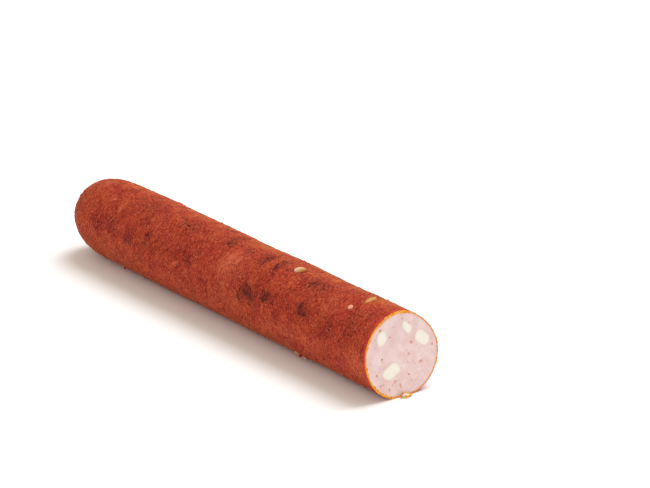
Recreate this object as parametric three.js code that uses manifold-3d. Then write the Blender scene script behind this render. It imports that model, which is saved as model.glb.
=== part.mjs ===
// A cheese sausage: a thick smoked stick of pink meat with a domed end and a cut end.
// Pale cheese chunks show in the cut face, and smaller ones lie bare in the skin.
// Millimetres, +Z up. +X runs along the stick to the cut, and the origin is the middle of the base.

import * as THREE from "three";
import { mergeVertices } from "three/addons/utils/BufferGeometryUtils.js";
import Module from "manifold-3d";

const radians = THREE.MathUtils.degToRad;

// The stick.
const CALIBRE = 37.6;
const LENGTH = 270;
const DOME_LENGTH = 31.7;
const DOME_FULLNESS = 2.4; // 2 gives an ellipse, and more gives a squarer shoulder
const DOME_DROOP = 0.3; // how far the dome's tip hangs below the axis
const FOOT_DEPTH = 0.6; // how deep the stick's weight flattens its underside

// The knife's slant: the face looks up by LEAN and towards +Y by TURN.
const CUT_LEAN = radians(3.5);
const CUT_TURN = radians(2.7);
const CUT_FLARE = 0.2; // how far the cut end spreads
const CUT_REACH = 80; // the stretch behind the cut that its slant, flare and lobes run out over

// The cut section's lobes: their count, their height, and one peak's angle from +Y to +Z.
const SECTION_LOBES = [
  { lobes: 3, height: 0.27, peak: -21 },
  { lobes: 4, height: 0.07, peak: -10 },
  { lobes: 5, height: 0.13, peak: 15 },
];
const BODY_LOBES = 0.3; // the share of the lobes' height that the rest of the stick keeps

// Slow swells along the stick: the distance between two, their height, and the side they lie on.
const LONG_SWELLS = [
  { pitch: 97, height: 0.16, side: 120, start: 30 },
  { pitch: 61, height: 0.13, side: 60, start: 200 },
  { pitch: 38, height: 0.08, side: 160, start: 110 },
];

const GAP = 0.3; // between a chunk and the pocket that holds it
const POCKET_RUN = 2; // how far a pocket's cut runs out past the surface
const AROUND = 64;
const DOME_RINGS = 12;
const STRAIGHT_RINGS = 36;
const CHUNK_SIDES = 20;
const SCRAP_SIDES = 12;

const RADIUS = CALIBRE / 2;
const AXIS_HEIGHT = RADIUS - FOOT_DEPTH;

// Chunks in the cut face: their place from the face's middle, their depth, and their corners.
const FACE_CHUNKS = [
  {
    name: "cheese_face_left",
    place: [-9.4, 9.5],
    depth: 6.5,
    corners: [[1.5, 2.9], [-1.2, 2.5], [-2.4, 0.1], [-1.8, -3.1], [1.1, -2.7], [2.8, -0.5]],
  },
  {
    name: "cheese_face_top",
    place: [4.2, 11.4],
    depth: 4.5,
    corners: [[-1.4, 3.1], [-2.5, 1.4], [-1.1, -1.4], [0.6, -3], [2.2, -1.3], [2.4, 0.2], [0.3, 1.9]],
  },
  {
    name: "cheese_face_right",
    place: [11.1, 5.4],
    depth: 6,
    corners: [[2, 1.7], [-0.4, 3.2], [-2.5, 2.3], [-3.2, 0.2], [-2, -1.5], [1.1, -3.6], [3, -3], [3.8, -1]],
  },
  {
    name: "cheese_face_low",
    place: [-5.9, -6.0],
    depth: 7,
    corners: [
      [1.2, 3.6], [-1.4, 2.5], [-4.7, -0.3], [-3.4, -2.6],
      [-0.4, -3.4], [2.4, -1.8], [4.9, 0], [4, 2.3],
    ],
  },
];

// Chunks that lie bare in the skin: their place back from the cut, the angle from +Y to +Z, the turn
// of their long side away from the stick's axis, how far they stand out, and their corners.
const SKIN_CHUNKS = [
  {
    name: "cheese_skin_mid",
    back: 77,
    angle: 97,
    turn: 37,
    proud: 0.8,
    corners: [[2.7, 0.2], [1.1, 1.5], [-1.6, 1.4], [-2.6, 0], [-1.4, -1.4], [1.5, -1.2]],
  },
  {
    name: "cheese_skin_small",
    back: 25,
    angle: 117,
    turn: 0,
    proud: 0.3,
    corners: [[1.2, 0.3], [0.2, 1.1], [-1, 0.7], [-1.1, -0.6], [0.1, -1.1], [0.9, -0.7]],
  },
  {
    name: "cheese_skin_near",
    back: 20.5,
    angle: 92,
    turn: 108,
    proud: 0.4,
    corners: [[3.5, 0.3], [2.2, 1.3], [-0.8, 1.1], [-3.6, 0.1], [-0.6, -1.2], [2.4, -1]],
  },
];
const SKIN_CHUNK_DEPTH = 2.6;

// Scraps of casing that the knife and handling left: a curl at the cut's foot, a flake underneath.
// Sizes are half widths: along the long side, across it, and outwards.
const CURL = { place: [-0.3, -17.0], size: [2.6, 1.15, 2.0], proud: 1.1 };
const FLAKE = { back: 62, angle: 225, size: [2.6, 0.9, 1.1] };

const SKIN_FINISH = { color: 0xa5412b, roughness: 0.7, metalness: 0 };
const CHEESE_FINISH = { color: 0xf1ecdb, roughness: 0.45, metalness: 0 };

// The dome's radius as a share of the full one, at a distance back from the cut.
function domeShare(back) {
  const intoDome = Math.max(0, back - (LENGTH - DOME_LENGTH)) / DOME_LENGTH;
  return Math.pow(1 - Math.min(1, Math.pow(intoDome, DOME_FULLNESS)), 1 / DOME_FULLNESS);
}

// How much of the cut's own shape the stick has here: all of it at the cut, none past its reach.
function cutShare(back) {
  return THREE.MathUtils.smoothstep(CUT_REACH - back, 0, CUT_REACH);
}

// The stick's radius at an angle from +Y to +Z, with its lobes and swells.
function radiusAt(back, angle) {
  const share = cutShare(back);
  let radius = RADIUS + CUT_FLARE * share;
  for (const { lobes, height, peak } of SECTION_LOBES) {
    const lobe = height * Math.cos(lobes * (angle - radians(peak)));
    radius += lobe * THREE.MathUtils.lerp(BODY_LOBES, 1, share);
  }
  for (const { pitch, height, side, start } of LONG_SWELLS) {
    const along = Math.cos((2 * Math.PI * back) / pitch + radians(start));
    radius += height * along * (0.5 + 0.5 * Math.cos(angle - radians(side)));
  }
  return radius;
}

// How far the slanted cut lies behind a square one, at a place on the face.
function cutSetback(across, up) {
  return across * Math.tan(CUT_TURN) + up * Math.tan(CUT_LEAN);
}

// A point of the skin. The underside is flat where it rests, at z = 0.
function skinPoint(back, angle) {
  const share = domeShare(back);
  const radius = radiusAt(back, angle) * share;
  const droop = DOME_DROOP * (1 - share);
  const across = radius * Math.cos(angle);
  const up = Math.max(-AXIS_HEIGHT, radius * Math.sin(angle) - droop);
  return new THREE.Vector3(-back - cutShare(back) * cutSetback(across, up), across, AXIS_HEIGHT + up);
}

// A closed surface through rings of equal count, from a first point to a last one.
// The rings turn to the right about the way from first to last, so the faces point out.
function loft(first, rings, last) {
  const count = rings[0].length;
  const points = [first, ...rings.flat(), last];
  const end = points.length - 1;
  const at = (ring, side) => 1 + ring * count + (side % count);
  const faces = [];
  for (let side = 0; side < count; side++) {
    faces.push(0, at(0, side + 1), at(0, side));
    for (let ring = 0; ring < rings.length - 1; ring++) {
      const corner = at(ring, side);
      const opposite = at(ring + 1, side + 1);
      faces.push(corner, at(ring, side + 1), opposite);
      faces.push(corner, opposite, at(ring + 1, side));
    }
    faces.push(end, at(rings.length - 1, side), at(rings.length - 1, side + 1));
  }
  return new THREE.BufferGeometry().setFromPoints(points).setIndex(faces);
}

// The stick: rings crowd towards the dome's tip, and the last one is the cut's rim.
function stickGeometry() {
  const backs = [];
  for (let ring = 1; ring <= DOME_RINGS; ring++) {
    const turn = (ring / DOME_RINGS) * (Math.PI / 2);
    const intoDome = Math.pow(Math.cos(turn), 2 / DOME_FULLNESS);
    backs.push(LENGTH - DOME_LENGTH * (1 - intoDome));
  }
  for (let ring = 1; ring <= STRAIGHT_RINGS; ring++) {
    backs.push((LENGTH - DOME_LENGTH) * (1 - ring / STRAIGHT_RINGS));
  }
  const rings = backs.map((back) =>
    Array.from({ length: AROUND }, (_, side) => skinPoint(back, (2 * Math.PI * side) / AROUND)),
  );
  const tip = new THREE.Vector3(-LENGTH, 0, AXIS_HEIGHT - DOME_DROOP);
  const middle = new THREE.Vector3(0, 0, AXIS_HEIGHT);
  return loft(tip, rings, middle);
}

// A smooth closed outline through a chunk's corners, grown by an amount.
function outline(corners, grow) {
  const points = corners.map(([across, up]) => new THREE.Vector3(across, up, 0));
  const curve = new THREE.CatmullRomCurve3(points, true, "centripetal");
  return curve
    .getSpacedPoints(CHUNK_SIDES)
    .slice(0, CHUNK_SIDES)
    .map((point) => point.setLength(point.length() + grow));
}

// A chunk as a loft of its outline. Each level has a height over the surface and a scale.
function chunkGeometry(corners, levels, grow = 0) {
  const edge = outline(corners, grow);
  const rings = levels.map(({ height, scale }) =>
    edge.map((point) => new THREE.Vector3(point.x * scale, point.y * scale, height)),
  );
  const low = new THREE.Vector3(0, 0, levels[0].height);
  const high = new THREE.Vector3(0, 0, levels[levels.length - 1].height);
  return loft(low, rings, high);
}

// A face chunk's levels run from its blunt back to the cut, where the knife left it flat.
function faceLevels(depth) {
  return [
    { height: -depth, scale: 0.5 },
    { height: -0.86 * depth, scale: 0.86 },
    { height: -0.5 * depth, scale: 1.06 },
    { height: 0, scale: 1 },
  ];
}

// The pocket's levels go deeper by the gap, and run right out of the surface.
function pocketLevels(levels) {
  const inside = levels.filter(({ height }) => height <= 0);
  const deepened = inside.map(({ height, scale }) => ({ height: height - GAP, scale }));
  return [...deepened, { height: POCKET_RUN, scale: 1 }];
}

// A skin chunk's levels run from its blunt back to the top of its bulge.
function skinLevels(proud) {
  return [
    { height: -SKIN_CHUNK_DEPTH, scale: 0.55 },
    { height: -0.7 * SKIN_CHUNK_DEPTH, scale: 0.92 },
    { height: 0, scale: 1 },
    { height: 0.6 * proud, scale: 0.86 },
    { height: proud, scale: 0.55 },
  ];
}

// Puts a geometry made about the face's middle onto the slanted cut, standing proud by an amount.
function ontoFace(geometry, { place: [across, up], proud = 0 }) {
  const sheared = new THREE.Matrix4().set(
    -Math.tan(CUT_TURN), -Math.tan(CUT_LEAN), 1, proud - cutSetback(across, up),
    1, 0, 0, across,
    0, 1, 0, AXIS_HEIGHT + up,
    0, 0, 0, 1,
  );
  return geometry.applyMatrix4(sheared);
}

// Puts a geometry onto the skin: its X along the stick, turned, and its Z straight out.
function ontoSkin(geometry, { back, angle, turn = 0 }) {
  const side = radians(angle);
  const out = new THREE.Vector3(0, Math.cos(side), Math.sin(side));
  const long = new THREE.Vector3(1, 0, 0).applyAxisAngle(out, radians(turn));
  const wide = out.clone().cross(long);
  const place = skinPoint(back, side);
  return geometry.applyMatrix4(new THREE.Matrix4().makeBasis(long, wide, out).setPosition(place));
}

// A small blunt scrap of casing.
function scrapGeometry({ size }) {
  return new THREE.SphereGeometry(1, SCRAP_SIDES, SCRAP_SIDES / 2).scale(...size);
}

const wasm = await Module();
wasm.setup();

// A closed geometry as a solid that can be joined and cut.
function solidFrom(geometry) {
  geometry.deleteAttribute("normal");
  geometry.deleteAttribute("uv");
  const merged = mergeVertices(geometry);
  return new wasm.Manifold(
    new wasm.Mesh({
      numProp: 3,
      vertProperties: merged.attributes.position.array,
      triVerts: new Uint32Array(merged.index.array),
    }),
  );
}

// A cut or joined solid as a geometry again.
function geometryFrom(solid) {
  const { vertProperties, triVerts } = solid.getMesh();
  const geometry = new THREE.BufferGeometry();
  geometry.setAttribute("position", new THREE.BufferAttribute(vertProperties, 3));
  geometry.setIndex(new THREE.BufferAttribute(triVerts, 1));
  return geometry;
}

// The meat in its casing, with the scraps joined on and a pocket for each chunk.
function sausageGeometry() {
  let solid = solidFrom(stickGeometry());
  solid = solid.add(solidFrom(ontoFace(scrapGeometry(CURL), CURL)));
  solid = solid.add(solidFrom(ontoSkin(scrapGeometry(FLAKE), FLAKE)));
  for (const chunk of FACE_CHUNKS) {
    const pocket = chunkGeometry(chunk.corners, pocketLevels(faceLevels(chunk.depth)), GAP);
    solid = solid.subtract(solidFrom(ontoFace(pocket, chunk)));
  }
  for (const chunk of SKIN_CHUNKS) {
    const pocket = chunkGeometry(chunk.corners, pocketLevels(skinLevels(chunk.proud)), GAP);
    solid = solid.subtract(solidFrom(ontoSkin(pocket, chunk)));
  }
  return geometryFrom(solid);
}

// Adds a named piece to the group.
function addMesh(group, name, geometry, finish) {
  geometry.computeVertexNormals();
  const mesh = new THREE.Mesh(geometry, new THREE.MeshStandardMaterial(finish));
  mesh.name = name;
  group.add(mesh);
}

const sausage = new THREE.Group();
addMesh(sausage, "sausage", sausageGeometry(), SKIN_FINISH);
for (const chunk of FACE_CHUNKS) {
  const geometry = chunkGeometry(chunk.corners, faceLevels(chunk.depth));
  addMesh(sausage, chunk.name, ontoFace(geometry, chunk), CHEESE_FINISH);
}
for (const chunk of SKIN_CHUNKS) {
  const geometry = chunkGeometry(chunk.corners, skinLevels(chunk.proud));
  addMesh(sausage, chunk.name, ontoSkin(geometry, chunk), CHEESE_FINISH);
}

// The origin is the middle of the base.
const extent = new THREE.Box3().setFromObject(sausage);
const centre = extent.getCenter(new THREE.Vector3());
sausage.position.set(-centre.x, -centre.y, -extent.min.z);

export default sausage;
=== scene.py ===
"""A cheese sausage: pink meat in a smoked casing, one end domed and the other cut across.

Pale cheese chunks show in the cut face, and smaller ones lie bare in the skin. Metres, +Z up. +X runs along
the stick to the cut, and the origin is the middle of the base.
"""

import logging
import math
from dataclasses import asdict, dataclass, field
from enum import Enum
from functools import cached_property
from typing import ClassVar

import bmesh
import bpy
import numpy as np
from mathutils import Matrix, Vector
from mathutils.bvhtree import BVHTree


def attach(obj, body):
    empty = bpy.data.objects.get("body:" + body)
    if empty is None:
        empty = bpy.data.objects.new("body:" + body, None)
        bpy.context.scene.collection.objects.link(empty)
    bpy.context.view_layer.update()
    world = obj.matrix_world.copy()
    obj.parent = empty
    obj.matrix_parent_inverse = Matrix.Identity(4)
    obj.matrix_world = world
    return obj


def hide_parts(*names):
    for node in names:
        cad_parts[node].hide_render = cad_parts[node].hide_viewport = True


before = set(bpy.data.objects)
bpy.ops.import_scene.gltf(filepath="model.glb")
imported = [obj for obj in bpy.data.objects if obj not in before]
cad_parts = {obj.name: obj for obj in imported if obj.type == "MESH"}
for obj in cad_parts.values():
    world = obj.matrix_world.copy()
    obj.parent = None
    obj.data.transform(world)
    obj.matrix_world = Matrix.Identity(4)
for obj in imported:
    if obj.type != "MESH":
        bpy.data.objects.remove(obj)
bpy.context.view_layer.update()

LOG = logging.getLogger("cheese_sausage")
MM = 0.001
PER_MM = 1000.0
DEG = math.pi / 180
TURN = 2 * math.pi
BODY = "root"
LOWEST = (-1.0, -1.0, 0.0)  # no point of a piece may lie lower, on any axis: the floor is at 0

Colour = tuple[float, float, float, float]
Triple = tuple[float, float, float]
Faces = list[tuple[int, ...]]


# ---------------------------------------------------------------------------
# Nodes
# ---------------------------------------------------------------------------


class Field:
    """A number that varies over a shape or a surface, and that plain arithmetic extends."""

    def __init__(self, graph: "Graph", socket: bpy.types.NodeSocket) -> None:
        """Keeps the socket, and the graph that takes further nodes."""
        self.graph = graph
        self.socket = socket

    def __add__(self, other: "Operand") -> "Field":
        """The sum."""
        return self.graph.math("ADD", self, other)

    __radd__ = __add__

    def __sub__(self, other: "Operand") -> "Field":
        """The difference."""
        return self.graph.math("SUBTRACT", self, other)

    def __rsub__(self, other: "Operand") -> "Field":
        """The difference, with this number taken away."""
        return self.graph.math("SUBTRACT", other, self)

    def __mul__(self, other: "Operand") -> "Field":
        """The product."""
        return self.graph.math("MULTIPLY", self, other)

    __rmul__ = __mul__

    def __truediv__(self, other: "Operand") -> "Field":
        """The quotient."""
        return self.graph.math("DIVIDE", self, other)

    def __rtruediv__(self, other: "Operand") -> "Field":
        """The quotient, with this number as the divisor."""
        return self.graph.math("DIVIDE", other, self)

    def __pow__(self, other: "Operand") -> "Field":
        """The power."""
        return self.graph.math("POWER", self, other)

    def __neg__(self) -> "Field":
        """The negative."""
        return self.graph.math("MULTIPLY", self, -1.0)

    def least(self, other: "Operand") -> "Field":
        """The smaller of the two."""
        return self.graph.math("MINIMUM", self, other)

    def most(self, other: "Operand") -> "Field":
        """The larger of the two."""
        return self.graph.math("MAXIMUM", self, other)

    def inverse(self) -> "Field":
        """One over a size, which is kept from being zero."""
        return 1.0 / self.most(0.001)

    def cosine(self) -> "Field":
        """The cosine of an angle in radians."""
        return self.graph.math("COSINE", self)

    def sine(self) -> "Field":
        """The sine of an angle in radians."""
        return self.graph.math("SINE", self)

    def tangent(self) -> "Field":
        """The tangent of an angle in radians."""
        return self.graph.math("TANGENT", self)

    def rise(self, low: "Operand", high: "Operand") -> "Field":
        """A smooth rise from 0 at low to 1 at high.

        Args:
            low: Where the rise starts.
            high: Where it ends. It may lie below low, which makes it a fall.

        Returns:
            The share, 0 to 1.
        """
        feeds = {"Value": self, "From Min": low, "From Max": high, "To Min": 0.0, "To Max": 1.0}
        made = self.graph.node("ShaderNodeMapRange", feeds, interpolation_type="SMOOTHSTEP")
        return Field(self.graph, made.outputs[0])


Operand = Field | float
Feed = Field | bpy.types.NodeSocket | float | int | str | tuple | bpy.types.ID
Feeds = dict[str | int, Feed]


def find_socket(sockets: bpy.types.bpy_prop_collection, key: str | int) -> bpy.types.NodeSocket:
    """A node's socket by its identifier, or else by its name or number."""
    matches = [socket for socket in sockets if socket.identifier == key]
    return matches[0] if matches else sockets[key]


class Mixing(Enum):
    """How one colour is put on another, as the Mix node names it."""

    COVER = "MIX"
    MULTIPLY = "MULTIPLY"


class Graph:
    """Adds nodes to a tree and links them."""

    def __init__(self, tree: bpy.types.NodeTree) -> None:
        """Keeps the tree that takes the nodes."""
        self.tree = tree

    def feed(self, socket: bpy.types.NodeSocket, value: Feed) -> None:
        """Links a value to a socket, or sets it there if it is the same everywhere.

        Args:
            socket: The input that takes the value.
            value: A field or a socket to link, or a plain value to set.
        """
        if isinstance(value, Field):
            value = value.socket
        if isinstance(value, bpy.types.NodeSocket):
            self.tree.links.new(value, socket)
        else:
            socket.default_value = value

    def node(self, kind: str, feeds: Feeds | None = None, **settings: object) -> bpy.types.Node:
        """Adds a node.

        Args:
            kind: The node's type name.
            feeds: What goes into its inputs, by identifier, name or number.
            settings: Its own settings.

        Returns:
            The node.
        """
        made = self.tree.nodes.new(kind)
        for name, value in settings.items():
            setattr(made, name, value)
        for key, value in (feeds or {}).items():
            self.feed(find_socket(made.inputs, key), value)
        return made

    def math(self, operation: str, *values: Operand) -> Field:
        """Adds a Math node.

        Args:
            operation: What it does.
            values: The numbers that it takes.

        Returns:
            Its result.
        """
        made = self.node("ShaderNodeMath", operation=operation)
        for socket, value in zip(made.inputs, values):
            self.feed(socket, value)
        return Field(self, made.outputs[0])

    def vector_math(self, operation: str, *values: Feed) -> bpy.types.NodeSocket:
        """Adds a Vector Math node.

        Args:
            operation: What it does.
            values: The vectors that it takes.

        Returns:
            Its vector result.
        """
        made = self.node("ShaderNodeVectorMath", operation=operation)
        for socket, value in zip(made.inputs, values):
            self.feed(socket, value)
        return made.outputs[0]

    def dot(self, first: Feed, second: Feed) -> Field:
        """How far one vector reaches along another."""
        feeds = {0: first, 1: second}
        return Field(self, self.node("ShaderNodeVectorMath", feeds, operation="DOT_PRODUCT").outputs["Value"])

    def scaled(self, vector: Feed, scale: Operand) -> bpy.types.NodeSocket:
        """A vector times a number."""
        feeds = {"Vector": vector, "Scale": scale}
        return self.node("ShaderNodeVectorMath", feeds, operation="SCALE").outputs[0]

    def point(self, x: Operand, y: Operand, z: Operand) -> bpy.types.NodeSocket:
        """A vector from three numbers."""
        return self.node("ShaderNodeCombineXYZ", {"X": x, "Y": y, "Z": z}).outputs[0]

    def noise(self, place: Feed, scale: Operand, detail: float = 2.0, roughness: float = 0.5) -> Field:
        """Smooth noise about 0.

        Args:
            place: Where it is read.
            scale: Its waves for each unit of length.
            detail: How many finer layers it has.
            roughness: How strong those are.

        Returns:
            The noise, mostly between -0.3 and 0.3.
        """
        feeds = {"Vector": place, "Scale": scale, "Detail": detail, "Roughness": roughness}
        return Field(self, self.node("ShaderNodeTexNoise", feeds).outputs[0]) - 0.5

    def blend(
        self, share: Operand, first: Feed, second: Feed, mixing: Mixing = Mixing.COVER
    ) -> bpy.types.NodeSocket:
        """Puts one colour over another.

        Args:
            share: How much of the second colour shows, 0 to 1.
            first: The colour underneath.
            second: The colour on top.
            mixing: How it is put on.

        Returns:
            The colour that results.
        """
        feeds = {"Factor_Float": share, "A_Color": first, "B_Color": second}
        made = self.node("ShaderNodeMix", feeds, data_type="RGBA", blend_type=mixing.value)
        return find_socket(made.outputs, "Result_Color")


class SharedGroup:
    """A node group with named inputs and outputs, for shapes or for finishes."""

    def __init__(self, name: str, kind: str) -> None:
        """Starts an empty group.

        Args:
            name: Its name.
            kind: Its tree's type.
        """
        self.tree = bpy.data.node_groups.new(name, kind)
        self.graph = Graph(self.tree)
        self.entry = self.graph.node("NodeGroupInput")
        self.exit = self.graph.node("NodeGroupOutput")

    def takes(self, name: str, kind: str, default: object = None) -> bpy.types.NodeSocket:
        """Adds an input.

        Args:
            name: Its name.
            kind: Its socket's type.
            default: Its value where none is given.

        Returns:
            The socket that it is read from.
        """
        socket = self.tree.interface.new_socket(name=name, in_out="INPUT", socket_type=kind)
        if default is not None:
            socket.default_value = default
        return self.entry.outputs[name]

    def number(self, name: str, default: float = 0.0) -> Field:
        """Adds a number as an input, and gives it."""
        return Field(self.graph, self.takes(name, "NodeSocketFloat", default))

    def gives(self, name: str, kind: str, value: Feed) -> None:
        """Adds an output of a socket type, with its value."""
        self.tree.interface.new_socket(name=name, in_out="OUTPUT", socket_type=kind)
        self.graph.feed(self.exit.inputs[name], value)


class ShapeTree(SharedGroup):
    """A Geometry Nodes tree with named inputs. It runs on an object and leaves a plain mesh."""

    def __init__(self, name: str) -> None:
        """Starts a tree that takes and gives a geometry.

        Args:
            name: Its name.
        """
        super().__init__(name, "GeometryNodeTree")
        self.geometry = self.takes("Geometry", "NodeSocketGeometry")
        self.material = self.takes("Material", "NodeSocketMaterial")

    def attribute(self, name: str, kind: str = "FLOAT") -> Field:
        """Reads a named attribute of the geometry."""
        made = self.graph.node("GeometryNodeInputNamedAttribute", {"Name": name}, data_type=kind)
        return Field(self.graph, made.outputs[0])

    def position(self) -> bpy.types.NodeSocket:
        """Where each point is."""
        return self.graph.node("GeometryNodeInputPosition").outputs[0]

    def normal(self) -> bpy.types.NodeSocket:
        """The way each point faces."""
        return self.graph.node("GeometryNodeInputNormal").outputs[0]

    def place(self, position: Feed) -> None:
        """Puts each point at a position."""
        feeds = {"Geometry": self.geometry, "Position": position}
        self.geometry = self.graph.node("GeometryNodeSetPosition", feeds).outputs[0]

    def push(self, offset: Feed) -> None:
        """Moves each point by an offset."""
        feeds = {"Geometry": self.geometry, "Offset": offset}
        self.geometry = self.graph.node("GeometryNodeSetPosition", feeds).outputs[0]

    def store(self, name: str, value: Feed) -> None:
        """Keeps a number on each point.

        Args:
            name: The name that it is kept under.
            value: The number.
        """
        feeds = {"Geometry": self.geometry, "Name": name, "Value": value}
        made = self.graph.node("GeometryNodeStoreNamedAttribute", feeds, data_type="FLOAT", domain="POINT")
        self.geometry = made.outputs[0]

    def random(self, low: float, high: float, seed: int) -> Field:
        """A random number for each point.

        Args:
            low: The least it can be.
            high: The most it can be.
            seed: What the draw starts from.

        Returns:
            The number.
        """
        feeds = {"Min_001": low, "Max_001": high, "Seed": seed}
        made = self.graph.node("FunctionNodeRandomValue", feeds, data_type="FLOAT")
        return Field(self.graph, find_socket(made.outputs, "Value_001"))

    def keep_over_floor(self) -> None:
        """Lifts the points that lie under the floor up to it."""
        self.place(self.graph.vector_math("MAXIMUM", self.position(), LOWEST))

    def strew(self, splits: Feed, feeds: Feeds) -> None:
        """Puts a round lump on each point, and makes the lumps real.

        Args:
            splits: How often each lump's faces are divided.
            feeds: The points, and how the lumps are turned and scaled.
        """
        ball = {"Radius": 1.0, "Subdivisions": splits}
        lump = self.graph.node("GeometryNodeMeshIcoSphere", ball).outputs[0]
        placed = self.graph.node("GeometryNodeInstanceOnPoints", {**feeds, "Instance": lump}).outputs[0]
        self.geometry = self.graph.node("GeometryNodeRealizeInstances", {"Geometry": placed}).outputs[0]

    def close(self) -> "ShapeTree":
        """Ends the tree: real geometry, smooth, with its material.

        Returns:
            The tree itself, ready to run.
        """
        real = self.graph.node("GeometryNodeRealizeInstances", {"Geometry": self.geometry}).outputs[0]
        smooth = self.graph.node("GeometryNodeSetShadeSmooth", {"Geometry": real}).outputs[0]
        feeds = {"Geometry": smooth, "Material": self.material}
        dressed = self.graph.node("GeometryNodeSetMaterial", feeds).outputs[0]
        self.gives("Geometry", "NodeSocketGeometry", dressed)
        return self

    def run(
        self, source: bpy.types.Object, piece: str, finish: bpy.types.Material, values: dict[str, object]
    ) -> bpy.types.Object:
        """Runs the tree on an object, and takes that object away.

        Args:
            source: What the tree starts from.
            piece: The name of the piece that it leaves.
            finish: The piece's material.
            values: The tree's other inputs, by name.

        Returns:
            The piece, a plain mesh at the origin.
        """
        modifier = source.modifiers.new(self.tree.name, "NODES")
        modifier.node_group = self.tree
        given = {"Material": finish, **values}
        for item in self.tree.interface.items_tree:
            if item.in_out == "INPUT" and item.name in given:
                modifier[item.identifier] = given[item.name]
        depsgraph = bpy.context.evaluated_depsgraph_get()
        mesh = bpy.data.meshes.new_from_object(
            source.evaluated_get(depsgraph), preserve_all_data_layers=True, depsgraph=depsgraph
        )
        source.modifiers.remove(modifier)
        bpy.data.objects.remove(source)
        mesh.name = piece
        return add_object(piece, mesh)


def add_object(name: str, mesh: bpy.types.Mesh) -> bpy.types.Object:
    """Puts a mesh into the scene.

    Args:
        name: The object's name.
        mesh: The mesh.

    Returns:
        The object.
    """
    made = bpy.data.objects.new(name, mesh)
    bpy.context.scene.collection.objects.link(made)
    return made


def mesh_from(
    name: str, points: np.ndarray, faces: Faces, attributes: dict[str, np.ndarray]
) -> bpy.types.Mesh:
    """Makes a mesh.

    Args:
        name: Its name.
        points: One row of three coordinates for each point.
        faces: The points of each face, with the face pointing out.
        attributes: A number or a vector for each point, by name.

    Returns:
        The mesh.
    """
    mesh = bpy.data.meshes.new(name)
    mesh.from_pydata(points.tolist(), [], faces)
    for key, values in attributes.items():
        kind, part = ("FLOAT", "value") if values.ndim == 1 else ("FLOAT_VECTOR", "vector")
        made = mesh.attributes.new(key, kind, "POINT")
        made.data.foreach_set(part, values.astype(np.float32).ravel())
    mesh.update()
    return mesh


# ---------------------------------------------------------------------------
# Finishes
# ---------------------------------------------------------------------------


def linear(red: float, green: float, blue: float) -> Colour:
    """A colour in linear light, with full opacity."""
    return (red, green, blue, 1.0)


class SharedEffects:
    """The shader node groups that more than one finish uses. Each is built once."""

    def __init__(self) -> None:
        """Builds every group."""
        self.mottle = self._mottle()
        self.flecks = self._flecks()

    def _mottle(self) -> bpy.types.NodeTree:
        """Uneven colour: broad blotches, and a fine grain that may be drawn out round the stick.

        Returns:
            The group, whose sizes are in the unit of its places.
        """
        group = SharedGroup("Mottle", "ShaderNodeTree")
        graph = group.graph
        place = group.takes("Place", "NodeSocketVector")
        grain_size = group.number("Grain size", 1.0)
        blotch_size = group.number("Blotch size", 8.0)
        draw = group.number("Draw round", 1.0)
        drawn = graph.vector_math("MULTIPLY", place, graph.point(draw, 1.0, 1.0))
        grain = graph.noise(drawn, grain_size.inverse(), detail=3.0, roughness=0.62)
        blotches = graph.noise(place, blotch_size.inverse(), detail=3.0, roughness=0.55)
        group.gives("Grain", "NodeSocketFloat", grain)
        group.gives("Blotches", "NodeSocketFloat", blotches)
        return group.tree

    def _flecks(self) -> bpy.types.NodeTree:
        """Scattered spots of uneven size with soft edges.

        Returns:
            The group. Its share is a spot's largest radius, measured in spacings.
        """
        group = SharedGroup("Flecks", "ShaderNodeTree")
        graph = group.graph
        place = group.takes("Place", "NodeSocketVector")
        spacing = group.number("Spacing", 3.0)
        share = group.number("Share", 0.3)
        softness = group.number("Softness", 0.1)
        wobble = graph.node("ShaderNodeTexNoise", {"Vector": place, "Scale": 1.1, "Detail": 2.0}).outputs[1]
        wobble = graph.scaled(graph.vector_math("SUBTRACT", wobble, (0.5, 0.5, 0.5)), 0.9)
        bent = graph.vector_math("ADD", place, wobble)
        cells = graph.node("ShaderNodeTexVoronoi", {"Vector": bent, "Scale": spacing.inverse()})
        distance = Field(graph, cells.outputs["Distance"])
        luck = graph.node("ShaderNodeSeparateColor", {"Color": cells.outputs["Color"]}).outputs[0]
        size = share * Field(graph, luck).rise(0.35, 1.0)
        group.gives("Spots", "NodeSocketFloat", (size - distance).rise(0.0, softness))
        return group.tree


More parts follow.
